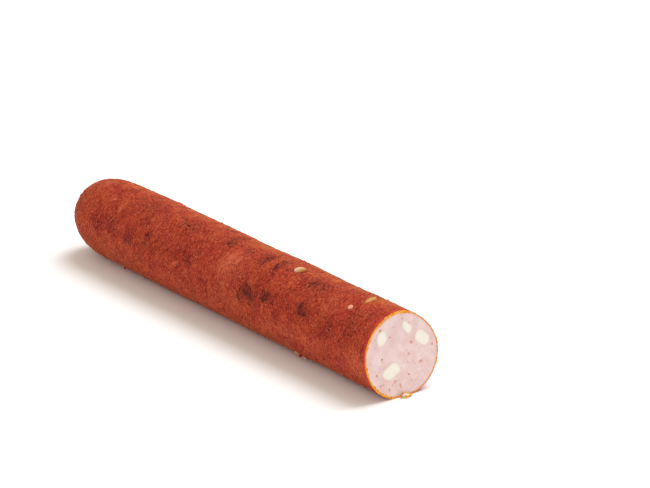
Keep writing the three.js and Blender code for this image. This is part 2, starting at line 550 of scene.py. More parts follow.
class FinishGraph(Graph):
    """The nodes of one material, with its places in millimetres."""

    def __init__(self, name: str) -> None:
        """Starts a material with its shader and its output.

        Args:
            name: Its name.
        """
        self.material = bpy.data.materials.new(name)
        self.material.use_nodes = True
        super().__init__(self.material.node_tree)
        self.tree.nodes.clear()
        self.shader = self.node("ShaderNodeBsdfPrincipled")
        self.node("ShaderNodeOutputMaterial", {"Surface": self.shader.outputs[0]})
        place = self.node("ShaderNodeTexCoord").outputs["Object"]
        self.place = self.node("ShaderNodeMapping", {"Vector": place, "Scale": (PER_MM,) * 3}).outputs[0]

    def attribute(self, name: str) -> Field:
        """Reads a number that the mesh keeps under a name."""
        return Field(self, self.node("ShaderNodeAttribute", attribute_name=name).outputs["Fac"])

    def tint(self, name: str) -> bpy.types.NodeSocket:
        """Reads a colour that the mesh keeps under a name."""
        return self.node("ShaderNodeAttribute", attribute_name=name).outputs["Color"]

    def shared(self, group: bpy.types.NodeTree, **feeds: Feed) -> dict[str, Field]:
        """Adds a shared effect at this surface's places.

        Args:
            group: The effect.
            feeds: Its inputs, with _ for a space in their names. Sizes are in mm.

        Returns:
            What it puts out, by name.
        """
        named = {key.replace("_", " "): value for key, value in feeds.items()}
        made = self.node("ShaderNodeGroup", node_tree=group)
        for key, value in {"Place": self.place, **named}.items():
            self.feed(made.inputs[key], value)
        return {socket.name: Field(self, socket) for socket in made.outputs}

    def bump(self, height: Feed, depth: float, strength: float) -> None:
        """Gives the surface a fine relief. Its depth is in metres."""
        feeds = {"Height": height, "Distance": depth, "Strength": strength}
        self.feed(self.shader.inputs["Normal"], self.node("ShaderNodeBump", feeds).outputs[0])

    def glow(self, weight: float, radius: Triple, depth: float) -> None:
        """Lets light into the surface: how much of it, and how deep in red, green and blue."""
        self.set(Subsurface_Weight=weight, Subsurface_Radius=radius, Subsurface_Scale=depth)

    def set(self, **values: Feed) -> None:
        """Sets the shader's own sockets. Names have _ for a space."""
        for key, value in values.items():
            self.feed(self.shader.inputs[key.replace("_", " ")], value)


@dataclass(frozen=True)
class SkinFinish:
    """Smoked casing: matt and suede-like, red-brown with dark burnt strokes and tan smears, with painted warm
    light on the top and painted shade in places.

    The sizes of its patterns are in mm, and a draw is how much longer they are round the stick than along it.
    """

    deep: Colour = linear(0.170, 0.007, 0.003)
    crimson: Colour = linear(0.445, 0.042, 0.025)
    brown: Colour = linear(0.440, 0.060, 0.020)
    salmon: Colour = linear(0.585, 0.120, 0.058)
    tan: Colour = linear(0.680, 0.200, 0.110)
    # painted light: the warm orange glow that light gives the top of the skin
    ochre: Colour = linear(0.589, 0.184, 0.043)
    # the colour of the dark stains, and of the shade painted with them
    dusk: Colour = linear(0.140, 0.013, 0.008)
    burnt: Colour = linear(0.034, 0.001, 0.004)
    blush: Colour = linear(0.570, 0.042, 0.042)
    cut_edge: Colour = linear(0.81, 0.28, 0.003)
    cut_edge_pale: Colour = linear(0.90, 0.41, 0.022)
    cut_edge_far: Colour = linear(0.80, 0.26, 0.07)
    grain_size: float = 0.95
    grain_draw: float = 1.6
    blotch_size: float = 7.0
    streak_size: float = 2.5
    streak_draw: float = 2.6
    broad_size: float = 20.0
    roughness: float = 0.78
    sheen: float = 0.13
    sheen_roughness: float = 0.4
    sheen_tint: Colour = linear(1.0, 0.46, 0.17)
    bump_depth: float = 0.4 * MM
    bump_strength: float = 0.6

    def build(self, effects: SharedEffects) -> bpy.types.Material:
        """Makes the material.

        Args:
            effects: The shared node groups.

        Returns:
            The material.
        """
        paint = FinishGraph("smoked_casing")
        mottle = paint.shared(
            effects.mottle,
            Grain_size=self.grain_size,
            Blotch_size=self.blotch_size,
            Draw_round=self.grain_draw,
        )
        streaks = paint.shared(
            effects.mottle,
            Grain_size=self.streak_size,
            Blotch_size=self.broad_size,
            Draw_round=self.streak_draw,
        )
        grain, blotches = mottle["Grain"], mottle["Blotches"]
        streak, broad = streaks["Grain"], streaks["Blotches"]
        hue = (blotches * 0.7 + broad * 0.8 + streak * 0.5).rise(-0.22, 0.22)
        fair = paint.blend(hue, self.crimson, self.brown)
        light = grain * 2.0 + streak + blotches * 0.7 + paint.attribute("grain") * 0.6
        colour = paint.blend(light.rise(-0.44, 0.27), self.deep, fair)
        colour = paint.blend(light.rise(0.1, 0.6) * 0.2, colour, self.tan)
        # painted light: a warm orange band along the top, where light falls, broken up by blotches
        ochre = paint.attribute("ochre") * (blotches * 1.6 + streak * 0.8 + 0.4).rise(0.0, 0.9)
        colour = paint.blend(ochre * 0.55, colour, self.ochre)
        smear = paint.attribute("smear") * (0.6 + streak * 1.6 + grain * 0.8).most(0.0)
        colour = paint.blend(smear.least(0.9), colour, self.salmon)
        # pale tan flecks: partly the skin's own pale grains, partly painted glints of light on them
        pale_spots = paint.shared(effects.flecks, Spacing=1.5, Share=0.5, Softness=0.35)["Spots"]
        pale_grains = (grain - streak * 0.4).rise(0.1, 0.24)
        colour = paint.blend(pale_grains * 0.55 + pale_spots * 0.4, colour, self.tan)
        # real burnt stains, and in places painted shade: along the top, and a painted shadow round the bare
        # cheese chunk
        stain_and_shade = paint.attribute("stain_and_shade") * (blotches * 1.5 + streak * 0.8 + 0.6).rise(0.1, 0.7)
        colour = paint.blend((stain_and_shade * (0.42 - grain * 2.2)).most(0.0).least(0.85), colour, self.dusk)
        dark_spots = paint.shared(effects.flecks, Spacing=1.15, Share=0.72, Softness=0.25)["Spots"]
        dark_spots = dark_spots * (stain_and_shade + 0.3).least(0.95)
        stroke = (streak * 1.3 + grain * 0.8 + stain_and_shade * 0.22 + blotches * 0.12).rise(0.27, 0.38) * 0.85
        colour = paint.blend(stroke.most(dark_spots), colour, self.burnt)
        blush = paint.attribute("blush") * (0.8 + streak * 1.2).least(1.0)
        colour = paint.blend(blush, colour, self.blush)
        edge = paint.blend((blotches + grain * 0.6).rise(-0.1, 0.25), self.cut_edge, self.cut_edge_pale)
        edge = paint.blend(paint.attribute("edge_far"), edge, self.cut_edge_far)
        colour = paint.blend(paint.attribute("edge"), colour, edge)
        paint.set(Base_Color=colour, Roughness=self.roughness - grain * 0.3, Specular_IOR_Level=0.1)
        paint.set(Sheen_Weight=self.sheen, Sheen_Roughness=self.sheen_roughness, Sheen_Tint=self.sheen_tint)
        paint.bump(grain * 0.8 - stroke * 0.35, self.bump_depth, self.bump_strength)
        return paint.material


@dataclass(frozen=True)
class MeatFinish:
    """Moist pale pink meat, with paler fat and red bits in it."""

    pink: Colour = linear(0.688, 0.478, 0.476)
    pale: Colour = linear(0.760, 0.600, 0.598)
    fat: Colour = linear(0.93, 0.80, 0.74)
    red: Colour = linear(0.72, 0.30, 0.24)
    roughness: float = 0.5
    glow: float = 0.25
    glow_radius: Triple = (1.0, 0.4, 0.3)
    glow_depth: float = 1.2 * MM
    bump_depth: float = 0.12 * MM
    bump_strength: float = 0.6

    def build(self, effects: SharedEffects) -> bpy.types.Material:
        """Makes the material.

        Args:
            effects: The shared node groups.

        Returns:
            The material.
        """
        paint = FinishGraph("fresh_cut_meat")
        mottle = paint.shared(effects.mottle, Grain_size=0.9, Blotch_size=5.0)
        grain, blotches = mottle["Grain"], mottle["Blotches"]
        colour = paint.blend((blotches + grain * 0.5).rise(-0.25, 0.25), self.pink, self.pale)
        fat = paint.shared(effects.flecks, Spacing=3.6, Share=0.42, Softness=0.3)["Spots"]
        colour = paint.blend(fat * 0.22, colour, self.fat)
        red = paint.shared(effects.flecks, Spacing=2.3, Share=0.2, Softness=0.16)["Spots"]
        colour = paint.blend(red * 0.3, colour, self.red)
        paint.set(Base_Color=colour, Roughness=self.roughness + grain * 0.4, Specular_IOR_Level=0.4)
        paint.glow(self.glow, self.glow_radius, self.glow_depth)
        paint.bump(grain, self.bump_depth, self.bump_strength)
        return paint.material


@dataclass(frozen=True)
class CheeseFinish:
    """Smooth ivory cheese. Juice soaks its rim in the cut, and smoke browns what lies bare in the skin."""

    ivory: Colour = linear(0.780, 0.730, 0.655)
    white: Colour = linear(0.820, 0.785, 0.735)
    rosy: Colour = linear(0.80, 0.38, 0.31)
    smoked: Colour = linear(0.50, 0.215, 0.035)
    soaked: Colour = linear(0.745, 0.578, 0.538)
    roughness: float = 0.62
    glow: float = 0.3
    glow_radius: Triple = (1.0, 0.7, 0.4)
    glow_depth: float = 1.2 * MM
    bump_depth: float = 0.08 * MM
    bump_strength: float = 0.5

    def build(self, effects: SharedEffects) -> bpy.types.Material:
        """Makes the material.

        Args:
            effects: The shared node groups.

        Returns:
            The material.
        """
        paint = FinishGraph("ivory_cheese")
        mottle = paint.shared(effects.mottle, Grain_size=0.7, Blotch_size=3.5)
        grain, blotches = mottle["Grain"], mottle["Blotches"]
        colour = paint.blend((blotches + grain * 0.4).rise(-0.25, 0.25), self.ivory, self.white)
        soaked = paint.attribute("rim") * (1.0 + blotches * 1.8)
        colour = paint.blend(soaked.least(0.95), colour, self.soaked)
        colour = paint.blend(paint.attribute("rosy"), colour, self.rosy)
        colour = paint.blend(paint.attribute("smoke"), colour, self.smoked)
        paint.set(Base_Color=colour, Roughness=self.roughness + grain * 0.4, Specular_IOR_Level=0.1)
        paint.glow(self.glow, self.glow_radius, self.glow_depth)
        paint.bump(grain, self.bump_depth, self.bump_strength)
        return paint.material


@dataclass(frozen=True)
class BitFinish:
    """Small bits of meat, spice and casing, each with its own tint."""

    name: str
    shade: Colour = linear(0.62, 0.42, 0.38)
    roughness: float = 0.6
    bump_depth: float = 0.08 * MM
    bump_strength: float = 0.6

    def build(self, effects: SharedEffects) -> bpy.types.Material:
        """Makes the material.

        Args:
            effects: The shared node groups.

        Returns:
            The material.
        """
        paint = FinishGraph(self.name)
        grain = paint.shared(effects.mottle, Grain_size=0.4, Blotch_size=1.5)["Grain"]
        shaded = (grain * 2.0).rise(-0.5, 0.6)
        colour = paint.blend(shaded, paint.tint("tint"), self.shade, Mixing.MULTIPLY)
        paint.set(Base_Color=colour, Roughness=self.roughness + grain * 0.3, Specular_IOR_Level=0.3)
        paint.bump(grain, self.bump_depth, self.bump_strength)
        return paint.material


# ---------------------------------------------------------------------------
# The stick's form
# ---------------------------------------------------------------------------


@dataclass(frozen=True)
class Lobe:
    """A wave round the section: how many, how high, and one peak's angle."""

    count: int
    height: float
    peak: float


@dataclass(frozen=True)
class Swell:
    """A wave along the stick: its length, its height, the side it lies on, and its angle at the cut."""

    pitch: float
    height: float
    side: float
    start: float


@dataclass(frozen=True)
class StickSizes:
    """The stick's driving sizes. Angles run from +Y to +Z."""

    calibre: float = 37.6 * MM
    length: float = 270 * MM
    dome_length: float = 31.7 * MM
    dome_fullness: float = 2.4
    dome_droop: float = 0.3 * MM
    foot_depth: float = 0.6 * MM
    cut_lean: float = 3.5 * DEG
    cut_turn: float = 2.7 * DEG
    cut_flare: float = 0.2 * MM
    cut_reach: float = 80 * MM

    def named(self) -> dict[str, float]:
        """The sizes by the names that the shape trees give them."""
        return {key.capitalize().replace("_", " "): value for key, value in asdict(self).items()}


@dataclass(frozen=True)
class Wall:
    """How thick the casing is. It thins towards one side of the stick."""

    thick: float = 0.7 * MM
    thin: float = 0.44 * MM
    thin_side: float = -15 * DEG

    def thinned(self, angle: np.ndarray | float) -> np.ndarray | float:
        """How far the wall is on its way from thick to thin, 0 to 1, at an angle."""
        return (0.5 + 0.5 * np.cos(angle - self.thin_side)) ** 1.5

    def share(self, angle: np.ndarray | float) -> np.ndarray | float:
        """The wall's share of its full thickness, at an angle."""
        return 1 - (1 - self.thin / self.thick) * self.thinned(angle)


@dataclass(frozen=True)
class StickForm:
    """The form that casing and meat share: the casing is its outside, and the meat lies a wall deeper."""

    sizes: StickSizes = StickSizes()
    lobes: tuple[Lobe, ...] = (
        Lobe(3, 0.27 * MM, -21 * DEG),
        Lobe(4, 0.07 * MM, -10 * DEG),
        Lobe(5, 0.13 * MM, 15 * DEG),
    )
    body_lobes: float = 0.3  # the share of the lobes' height that the rest of the stick keeps
    swells: tuple[Swell, ...] = (
        Swell(97 * MM, 0.16 * MM, 120 * DEG, 30 * DEG),
        Swell(61 * MM, 0.13 * MM, 60 * DEG, 200 * DEG),
        Swell(38 * MM, 0.08 * MM, 160 * DEG, 110 * DEG),
    )

    @property
    def radius(self) -> float:
        """The stick's mean radius."""
        return self.sizes.calibre / 2

    @property
    def axis_height(self) -> float:
        """How high the axis lies over the floor."""
        return self.radius - self.sizes.foot_depth

    @property
    def straight(self) -> float:
        """How far back from the cut the dome starts."""
        return self.sizes.length - self.sizes.dome_length

    @cached_property
    def cut_middle(self) -> Vector:
        """The middle of the cut face.

        Returns:
            One length in front of the tip that the frame's sausage has.
        """
        points = [vertex.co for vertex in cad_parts["sausage"].data.vertices]
        tip = min(points, key=lambda point: point.x)
        return Vector((tip.x + self.sizes.length, tip.y, self.axis_height))

    @cached_property
    def cut_normal(self) -> Vector:
        """The way the cut face looks."""
        return Vector((1.0, math.tan(self.sizes.cut_turn), math.tan(self.sizes.cut_lean))).normalized()

    def on_cut(self, across: float, up: float, proud: float = 0.0) -> Vector:
        """A point of the cut's plane.

        Args:
            across: How far it lies from the middle, towards +Y.
            up: How far it lies over the middle.
            proud: How far it stands out of the plane.

        Returns:
            The point.
        """
        setback = across * math.tan(self.sizes.cut_turn) + up * math.tan(self.sizes.cut_lean)
        return self.cut_middle + Vector((-setback, across, up)) + self.cut_normal * proud

    def dome_backs(self, inset: float, count: int) -> list[float]:
        """How far back the dome's rings lie, from its foot to just before its tip.

        Args:
            inset: How far the surface lies inside the stick's outside.
            count: How many rings.

        Returns:
            The distances.
        """
        depth = self.sizes.dome_length - inset
        bulge = 2 / self.sizes.dome_fullness
        turns = [math.pi / 2 * ring / count for ring in range(1, count)]
        return [self.straight + depth * math.sin(turn) ** bulge for turn in turns]

    @cached_property
    def group(self) -> bpy.types.NodeTree:
        """The node group that works out a point's place from how far back and round it is.

        Returns:
            The group, whose inputs are the lattice's coordinates and the stick's sizes.
        """
        group = SharedGroup("Stick form", "GeometryNodeTree")
        back = group.number("Back")
        angle = group.number("Angle")
        inset = group.number("Inset")
        reach = group.number("Reach", 1.0)
        size = {name: group.number(name, value) for name, value in self.sizes.named().items()}
        cut_share = (size["Cut reach"] - back).rise(0.0, size["Cut reach"])
        waves = [((angle - lobe.peak) * lobe.count).cosine() * lobe.height for lobe in self.lobes]
        lobes = sum(waves[1:], waves[0])
        radius = size["Calibre"] * 0.5 + size["Cut flare"] * cut_share
        radius = radius + lobes * (cut_share * (1 - self.body_lobes) + self.body_lobes)
        for swell in self.swells:
            along = (back * (TURN / swell.pitch) + swell.start).cosine()
            radius = radius + along * swell.height * ((angle - swell.side).cosine() * 0.5 + 0.5)
        dome_depth = size["Dome length"] - inset
        straight = size["Length"] - size["Dome length"]
        into_dome = ((back - straight).most(0.0) / dome_depth).least(1.0)
        fullness = size["Dome fullness"]
        dome_share = (1.0 - into_dome**fullness).most(0.0) ** (1.0 / fullness.most(1.0))
        radius = (radius - inset) * dome_share * reach
        foot = size["Calibre"] * 0.5 - size["Foot depth"] - inset
        across = radius * angle.cosine()
        up = (radius * angle.sine() - size["Dome droop"] * (1.0 - dome_share)).most(-foot)
        setback = across * size["Cut turn"].tangent() + up * size["Cut lean"].tangent()
        middle = self.cut_middle
        place = group.graph.point(middle.x - back - cut_share * setback, across + middle.y, up + middle.z)
        group.gives("Position", "NodeSocketVector", place)
        return group.tree

    def lay_out(self, tree: ShapeTree) -> bpy.types.NodeSocket:
        """Puts each of a lattice's points at its place on the stick.

        Args:
            tree: The tree that does it. The stick's sizes and a seed become its inputs.

        Returns:
            Each point's place in mm, moved on by the seed, to read noise at.
        """
        graph = tree.graph
        sizes = {name: tree.number(name, value) for name, value in self.sizes.named().items()}
        lattice = {name.capitalize(): tree.attribute(name) for name in Lattice.COORDINATES}
        formed = graph.node("GeometryNodeGroup", {**lattice, **sizes}, node_tree=self.group)
        tree.place(formed.outputs["Position"])
        seed = tree.number("Seed")
        place = graph.scaled(tree.position(), PER_MM)
        return graph.vector_math("ADD", place, graph.point(seed, seed * 2.0, seed * 3.0))


@dataclass
class Lattice:
    """Points by how far back and round the stick they lie, and the faces that close them into a skin."""

    COORDINATES: ClassVar[tuple[str, ...]] = ("back", "angle", "inset", "reach")

    back: np.ndarray
    angle: np.ndarray
    inset: np.ndarray
    reach: np.ndarray
    faces: Faces
    masks: dict[str, np.ndarray] = field(default_factory=dict)

    def to_object(self, name: str) -> bpy.types.Object:
        """Makes an object whose points still have to be put in place.

        Args:
            name: Its name.

        Returns:
            The object.
        """
        rows = {key: getattr(self, key) for key in self.COORDINATES}
        flat = np.column_stack([-self.back, self.angle * MM, self.inset])
        return add_object(name, mesh_from(name, flat, self.faces, {**rows, **self.masks}))


def ring_faces(first: int, rings: int, around: int) -> Faces:
    """The four-sided faces between rings of points, pointing out where the rings run away from the cut.

    Args:
        first: The first ring's first point.
        rings: How many rings.
        around: How many points each has.

    Returns:
        The faces.
    """
    faces = []
    for ring in range(rings - 1):
        near, far = first + ring * around, first + (ring + 1) * around
        for side in range(around):
            after = (side + 1) % around
            faces.append((near + side, far + side, far + after, near + after))
    return faces


# ---------------------------------------------------------------------------
# The casing
# ---------------------------------------------------------------------------


@dataclass(frozen=True)
class Patch:
    """A soft-edged oval on the skin. Its turn is that of its long side away from the stick's axis.

    How far back it lies and its half sizes are in mm, and its angles in degrees.
    """

    back: float
    angle: float
    long: float
    wide: float
    turn: float = 0.0
    strength: float = 1.0

    def cover(self, lattice: Lattice, radius: float) -> np.ndarray:
        """How much of the patch lies on each point.

        Args:
            lattice: The points.
            radius: The stick's radius.

        Returns:
            The cover, 0 to the patch's strength.
        """
        along = self.back * MM - lattice.back
        apart = (lattice.angle - self.angle * DEG + math.pi) % TURN - math.pi
        across = -apart * radius
        turn = self.turn * DEG
        long_way = (along * math.cos(turn) + across * math.sin(turn)) / (self.long * MM)
        wide_way = (across * math.cos(turn) - along * math.sin(turn)) / (self.wide * MM)
        return self.strength * np.exp(-1.5 * (long_way**2 + wide_way**2) ** 1.5)


@dataclass
class Casing:
    """The smoked casing: a thin skin from the cut's rim to the dome, open where the meat shows."""

    form: StickForm
    wall: Wall = Wall()
    around: int = 200
    dome_rings: int = 58
    straight_step: float = 0.605 * MM
    rim_steps: tuple[float, ...] = (0.1, 0.22, 0.38, 0.6, 0.9, 1.3, 1.8, 2.35)  # mm behind the cut
    rim_round: float = 0.12 * MM
    corner_back: float = 0.03 * MM
    corner_inner: float = 0.05 * MM  # how far the rim's inner corner lies from the inner wall
    corner_outer: float = 0.04 * MM
    inner_steps: tuple[float, ...] = (0.4, 1.5, 5.0)  # mm behind the cut
    inner_start: float = 15 * MM
    inner_rings: int = 8
    inner_dome_rings: int = 7
    outside_depth: float = 0.04 * MM
    edge_reach: float = 0.32 * MM
    blush_reach: float = 2.4 * MM
    blush_fullness: float = 1.4
    blush_loss: float = 0.6  # the share of the blush that the far side lacks
    grain_height: float = 0.55 * MM
    fuzz_height: float = 0.35 * MM
    blotch_height: float = 0.5 * MM
    pit_depth: float = 0.16 * MM
    stain_depth: float = 0.06 * MM
    ragged_height: float = 0.5 * MM
    seed: float = 7.0
    # Real burnt stains, and some painted shade among them.
    stains: tuple[Patch, ...] = (
        Patch(54.5, 150, 4.5, 3.4, -33, 1.2),
        Patch(53, 150, 9.0, 4.0, 0, 0.4),
        Patch(98.5, 160, 8.4, 3.6, -20, 1.4),
        Patch(104.5, 169, 3.2, 2.2, -14, 1.2),
        Patch(85, 155, 4.8, 2.2, -25, 1.1),
        Patch(80.7, 152, 5.8, 1.9, -21, 1.0),
        Patch(90, 157, 12.0, 5.0, 0, 0.4),
        Patch(151, 156, 4.0, 3.2),
        Patch(188, 152, 3.5, 4.0, 60),
        Patch(204, 163, 5.0, 5.0, 40),
        Patch(220, 160, 3.5, 6.5, 70),
        Patch(232, 164, 4.0, 5.5, 70),
        # painted shadow: a dark crescent round the bare cheese chunk, where the casing's edge lifts
        Patch(73.4, 97, 1.6, 2.4, 0, 1.1),
        Patch(80.5, 103, 3.0, 1.4, 20, 0.9),
        # From here, the broad soft patches near 100-108 degrees run along the top: partly real burnt strokes,
        # partly painted shade.
        Patch(56, 107, 13.0, 5.2, 0, 0.75),
        Patch(60, 105, 4.0, 3.0, -5, 0.3),
        Patch(88.9, 114, 6.8, 2.2, -65, 0.8),
        Patch(99.2, 102, 5.0, 2.6, 80, 0.9),
        Patch(131.7, 103, 5.7, 2.4, 6, 0.3),
        Patch(90, 104, 3.5, 8.0, 0, 0.9),
        Patch(102, 104, 5.0, 6.0, 0, 0.9),
        Patch(116, 103, 5.0, 3.5, 0, 0.8),
        Patch(133, 100, 5.0, 8.0, 0, 0.8),
        Patch(165, 108, 12.0, 5.0, 0, 0.7),
        Patch(200, 106, 14.0, 6.0, 0, 0.7),
        Patch(17, 140, 6.0, 9.0, 0, 0.5),
        Patch(32, 158, 8.0, 4.5, 0, 0.6),
        Patch(213, 207, 7.0, 4.0, 0, 0.5),
    )
    smears: tuple[Patch, ...] = (
        Patch(118, 139, 12.0, 10.0, 0, 0.45),
        Patch(122.5, 133, 9.5, 3.8, 70, 0.7),
        Patch(116.2, 123, 5.2, 1.4, 77, 0.9),
        Patch(118.4, 164, 2.2, 2.0, 0, 0.6),
        Patch(246, 100, 5.0, 4.0, 30, 0.7),
        Patch(161, 167, 2.6, 0.8, 20, 1.6),
        Patch(185, 130, 1.0, 3.0, 0, 0.9),
        Patch(219, 132, 1.2, 3.0, 0, 0.9),
        Patch(192, 125, 1.5, 1.0, 0, 0.9),
        Patch(8, 185, 9.0, 7.0, 0, 0.6),
        Patch(60, 187, 24.0, 3.5, 0, 0.4),
        Patch(38, 125, 6.0, 5.0, 0, 0.4),
    )
    far_sides: tuple[float, float] = (245, 405)  # the angles that the photo doesn't show
    far_stains: int = 18
    far_seed: int = 11
    pits: tuple[Patch, ...] = (
        Patch(77, 97, 3.6, 2.5, 37),
        Patch(20.5, 92, 4.4, 1.9, 108, 0.6),
        Patch(25, 117, 1.9, 1.6, 0, 0.5),
    )
    # the side and the reach of the painted warm light along the top
    ochre_side: float = 66 * DEG
    ochre_reach: float = 32 * DEG

    def lattice(self) -> Lattice:
        """Lays out the points: up the inner wall to the rim, over it, and back along the outside.

        Returns:
            The painted lattice.
        """
        form = self.form
        coarse = 1
        around = self.around // coarse
        wall, bend = self.wall.thick, self.rim_round
        inner = [step * MM for step in self.inner_steps]
        inner += [*np.linspace(self.inner_start, form.straight, self.inner_rings)]
        inner += form.dome_backs(wall, self.inner_dome_rings)
        rows = [(back, wall) for back in reversed(inner)]
        rows += [(bend, wall), (self.corner_back, wall - self.corner_inner), (0.0, wall - bend)]
        rows += [(0.0, wall / 2), (0.0, bend), (self.corner_back, self.corner_outer)]
        near = [(step * MM, 0.0) for step in self.rim_steps]
        count = round((form.straight - near[-1][0]) / (self.straight_step * coarse))
        far = np.linspace(near[-1][0], form.straight, count + 1)[1:]
        rows += near + [(back, 0.0) for back in far]
        rows += [(back, 0.0) for back in form.dome_backs(0.0, self.dome_rings // coarse)]
        backs = np.repeat([back for back, _ in rows], around)
        insets = np.repeat([inset for _, inset in rows], around)
        angles = np.tile(np.arange(around) * TURN / around, len(rows))
        insets = insets * self.wall.share(angles)
        faces = ring_faces(1, len(rows), around)
        last = 1 + len(rows) * around
        for side in range(around):
            after = (side + 1) % around
            faces.append((0, 1 + side, 1 + after))
            faces.append((last - around + side, last, last - around + after))
        length = form.sizes.length
        lattice = Lattice(
            back=np.concatenate([[length - wall], backs, [length]]),
            angle=np.concatenate([[0.0], angles, [0.0]]),
            inset=np.concatenate([[wall], insets, [0.0]]),
            reach=np.ones(last + 1),
            faces=faces,
        )
        self._paint(lattice)
        return lattice

    def _paint(self, lattice: Lattice) -> None:
        """Marks where the outside, the cut edge, the blush, the stains and painted shade, the smears, the
        pits and the painted top light are.

        Args:
            lattice: The points, which take the masks.
        """
        outside = np.clip(1 - lattice.inset / self.outside_depth, 0, 1)
        edge = np.clip(1 - lattice.back / self.edge_reach, 0, 1)
        edge_far = np.clip(self.wall.thinned(lattice.angle) * 1.5 - 0.25, 0, 1)  # full where the wall is thin
        full = self.blush_fullness
        blush = np.clip(full - lattice.back / self.blush_reach * full, 0, 1)
        # painted light: how near each point lies to the top's painted warm glow
        from_side = np.abs((lattice.angle - self.ochre_side + math.pi) % TURN - math.pi)
        lattice.masks = {
            "outside": outside,
            "edge": edge * outside + (1 - outside),
            "edge_far": edge_far,
            "blush": blush * outside * (1 - self.blush_loss * edge_far),
            "ochre": np.clip(1 - from_side / self.ochre_reach, 0, 1) * outside,
        }
        none = np.zeros_like(lattice.back)
        stains = self.stains + self._far_stains()
        for name, patches in (("stain_and_shade", stains), ("smear", self.smears), ("pit", self.pits)):
            covers = (patch.cover(lattice, self.form.radius) for patch in patches)
            lattice.masks[name] = sum(covers, none)

    def _far_stains(self) -> tuple[Patch, ...]:
        """Scatters stains over the sides that the photo doesn't show, like those on the sides it shows.

        Returns:
            The stains.
        """
        draw = np.random.default_rng(self.far_seed)
        length = self.form.sizes.length * PER_MM
        return tuple(
            Patch(
                back=draw.uniform(0.04, 0.95) * length,
                angle=draw.uniform(*self.far_sides),
                long=draw.uniform(3.5, 12.0),
                wide=draw.uniform(3.5, 6.5),
                turn=draw.uniform(0, 80),
                strength=draw.uniform(0.5, 1.0),
            )
            for _ in range(self.far_stains)
        )

    def shape(self) -> ShapeTree:
        """Makes the tree: the stick's form, then the relief of its skin.

        Returns:
            The tree.
        """
        tree = ShapeTree("Casing shape")
        graph = tree.graph
        place = self.form.lay_out(tree)
        drawn = graph.vector_math("MULTIPLY", place, (1.7, 1.0, 1.0))
        grain = graph.noise(drawn, scale=0.5, detail=3.0, roughness=0.6)
        fuzz = graph.noise(place, scale=1.3, detail=1.0)
        blotches = graph.noise(place, scale=0.13)
        tree.store("grain", grain)
        outside, edge = tree.attribute("outside"), tree.attribute("edge")
        height = grain * tree.number("Grain height") + fuzz * tree.number("Fuzz height")
        height = height + blotches * tree.number("Blotch height")
        height = height * (1.0 - edge * 0.6) - tree.attribute("pit") * tree.number("Pit depth")
        height = height - tree.attribute("stain_and_shade") * tree.number("Stain depth")
        tree.push(graph.scaled(tree.normal(), height * outside))
        ragged = graph.noise(place, scale=1.1) * edge * tree.number("Ragged height")
        tree.push(graph.scaled(tree.normal(), ragged * (1.0 - outside)))
        tree.keep_over_floor()
        return tree.close()

    def build(self, finish: bpy.types.Material) -> bpy.types.Object:
        """Makes the casing.

        Args:
            finish: Its material.

        Returns:
            The piece.
        """
        values = {
            **self.form.sizes.named(),
            "Grain height": self.grain_height,
            "Fuzz height": self.fuzz_height,
            "Blotch height": self.blotch_height,
            "Pit depth": self.pit_depth,
            "Stain depth": self.stain_depth,
            "Ragged height": self.ragged_height,
            "Seed": self.seed,
        }
        return self.shape().run(self.lattice().to_object("casing_lattice"), "casing", finish, values)


# ---------------------------------------------------------------------------
# The meat
# ---------------------------------------------------------------------------


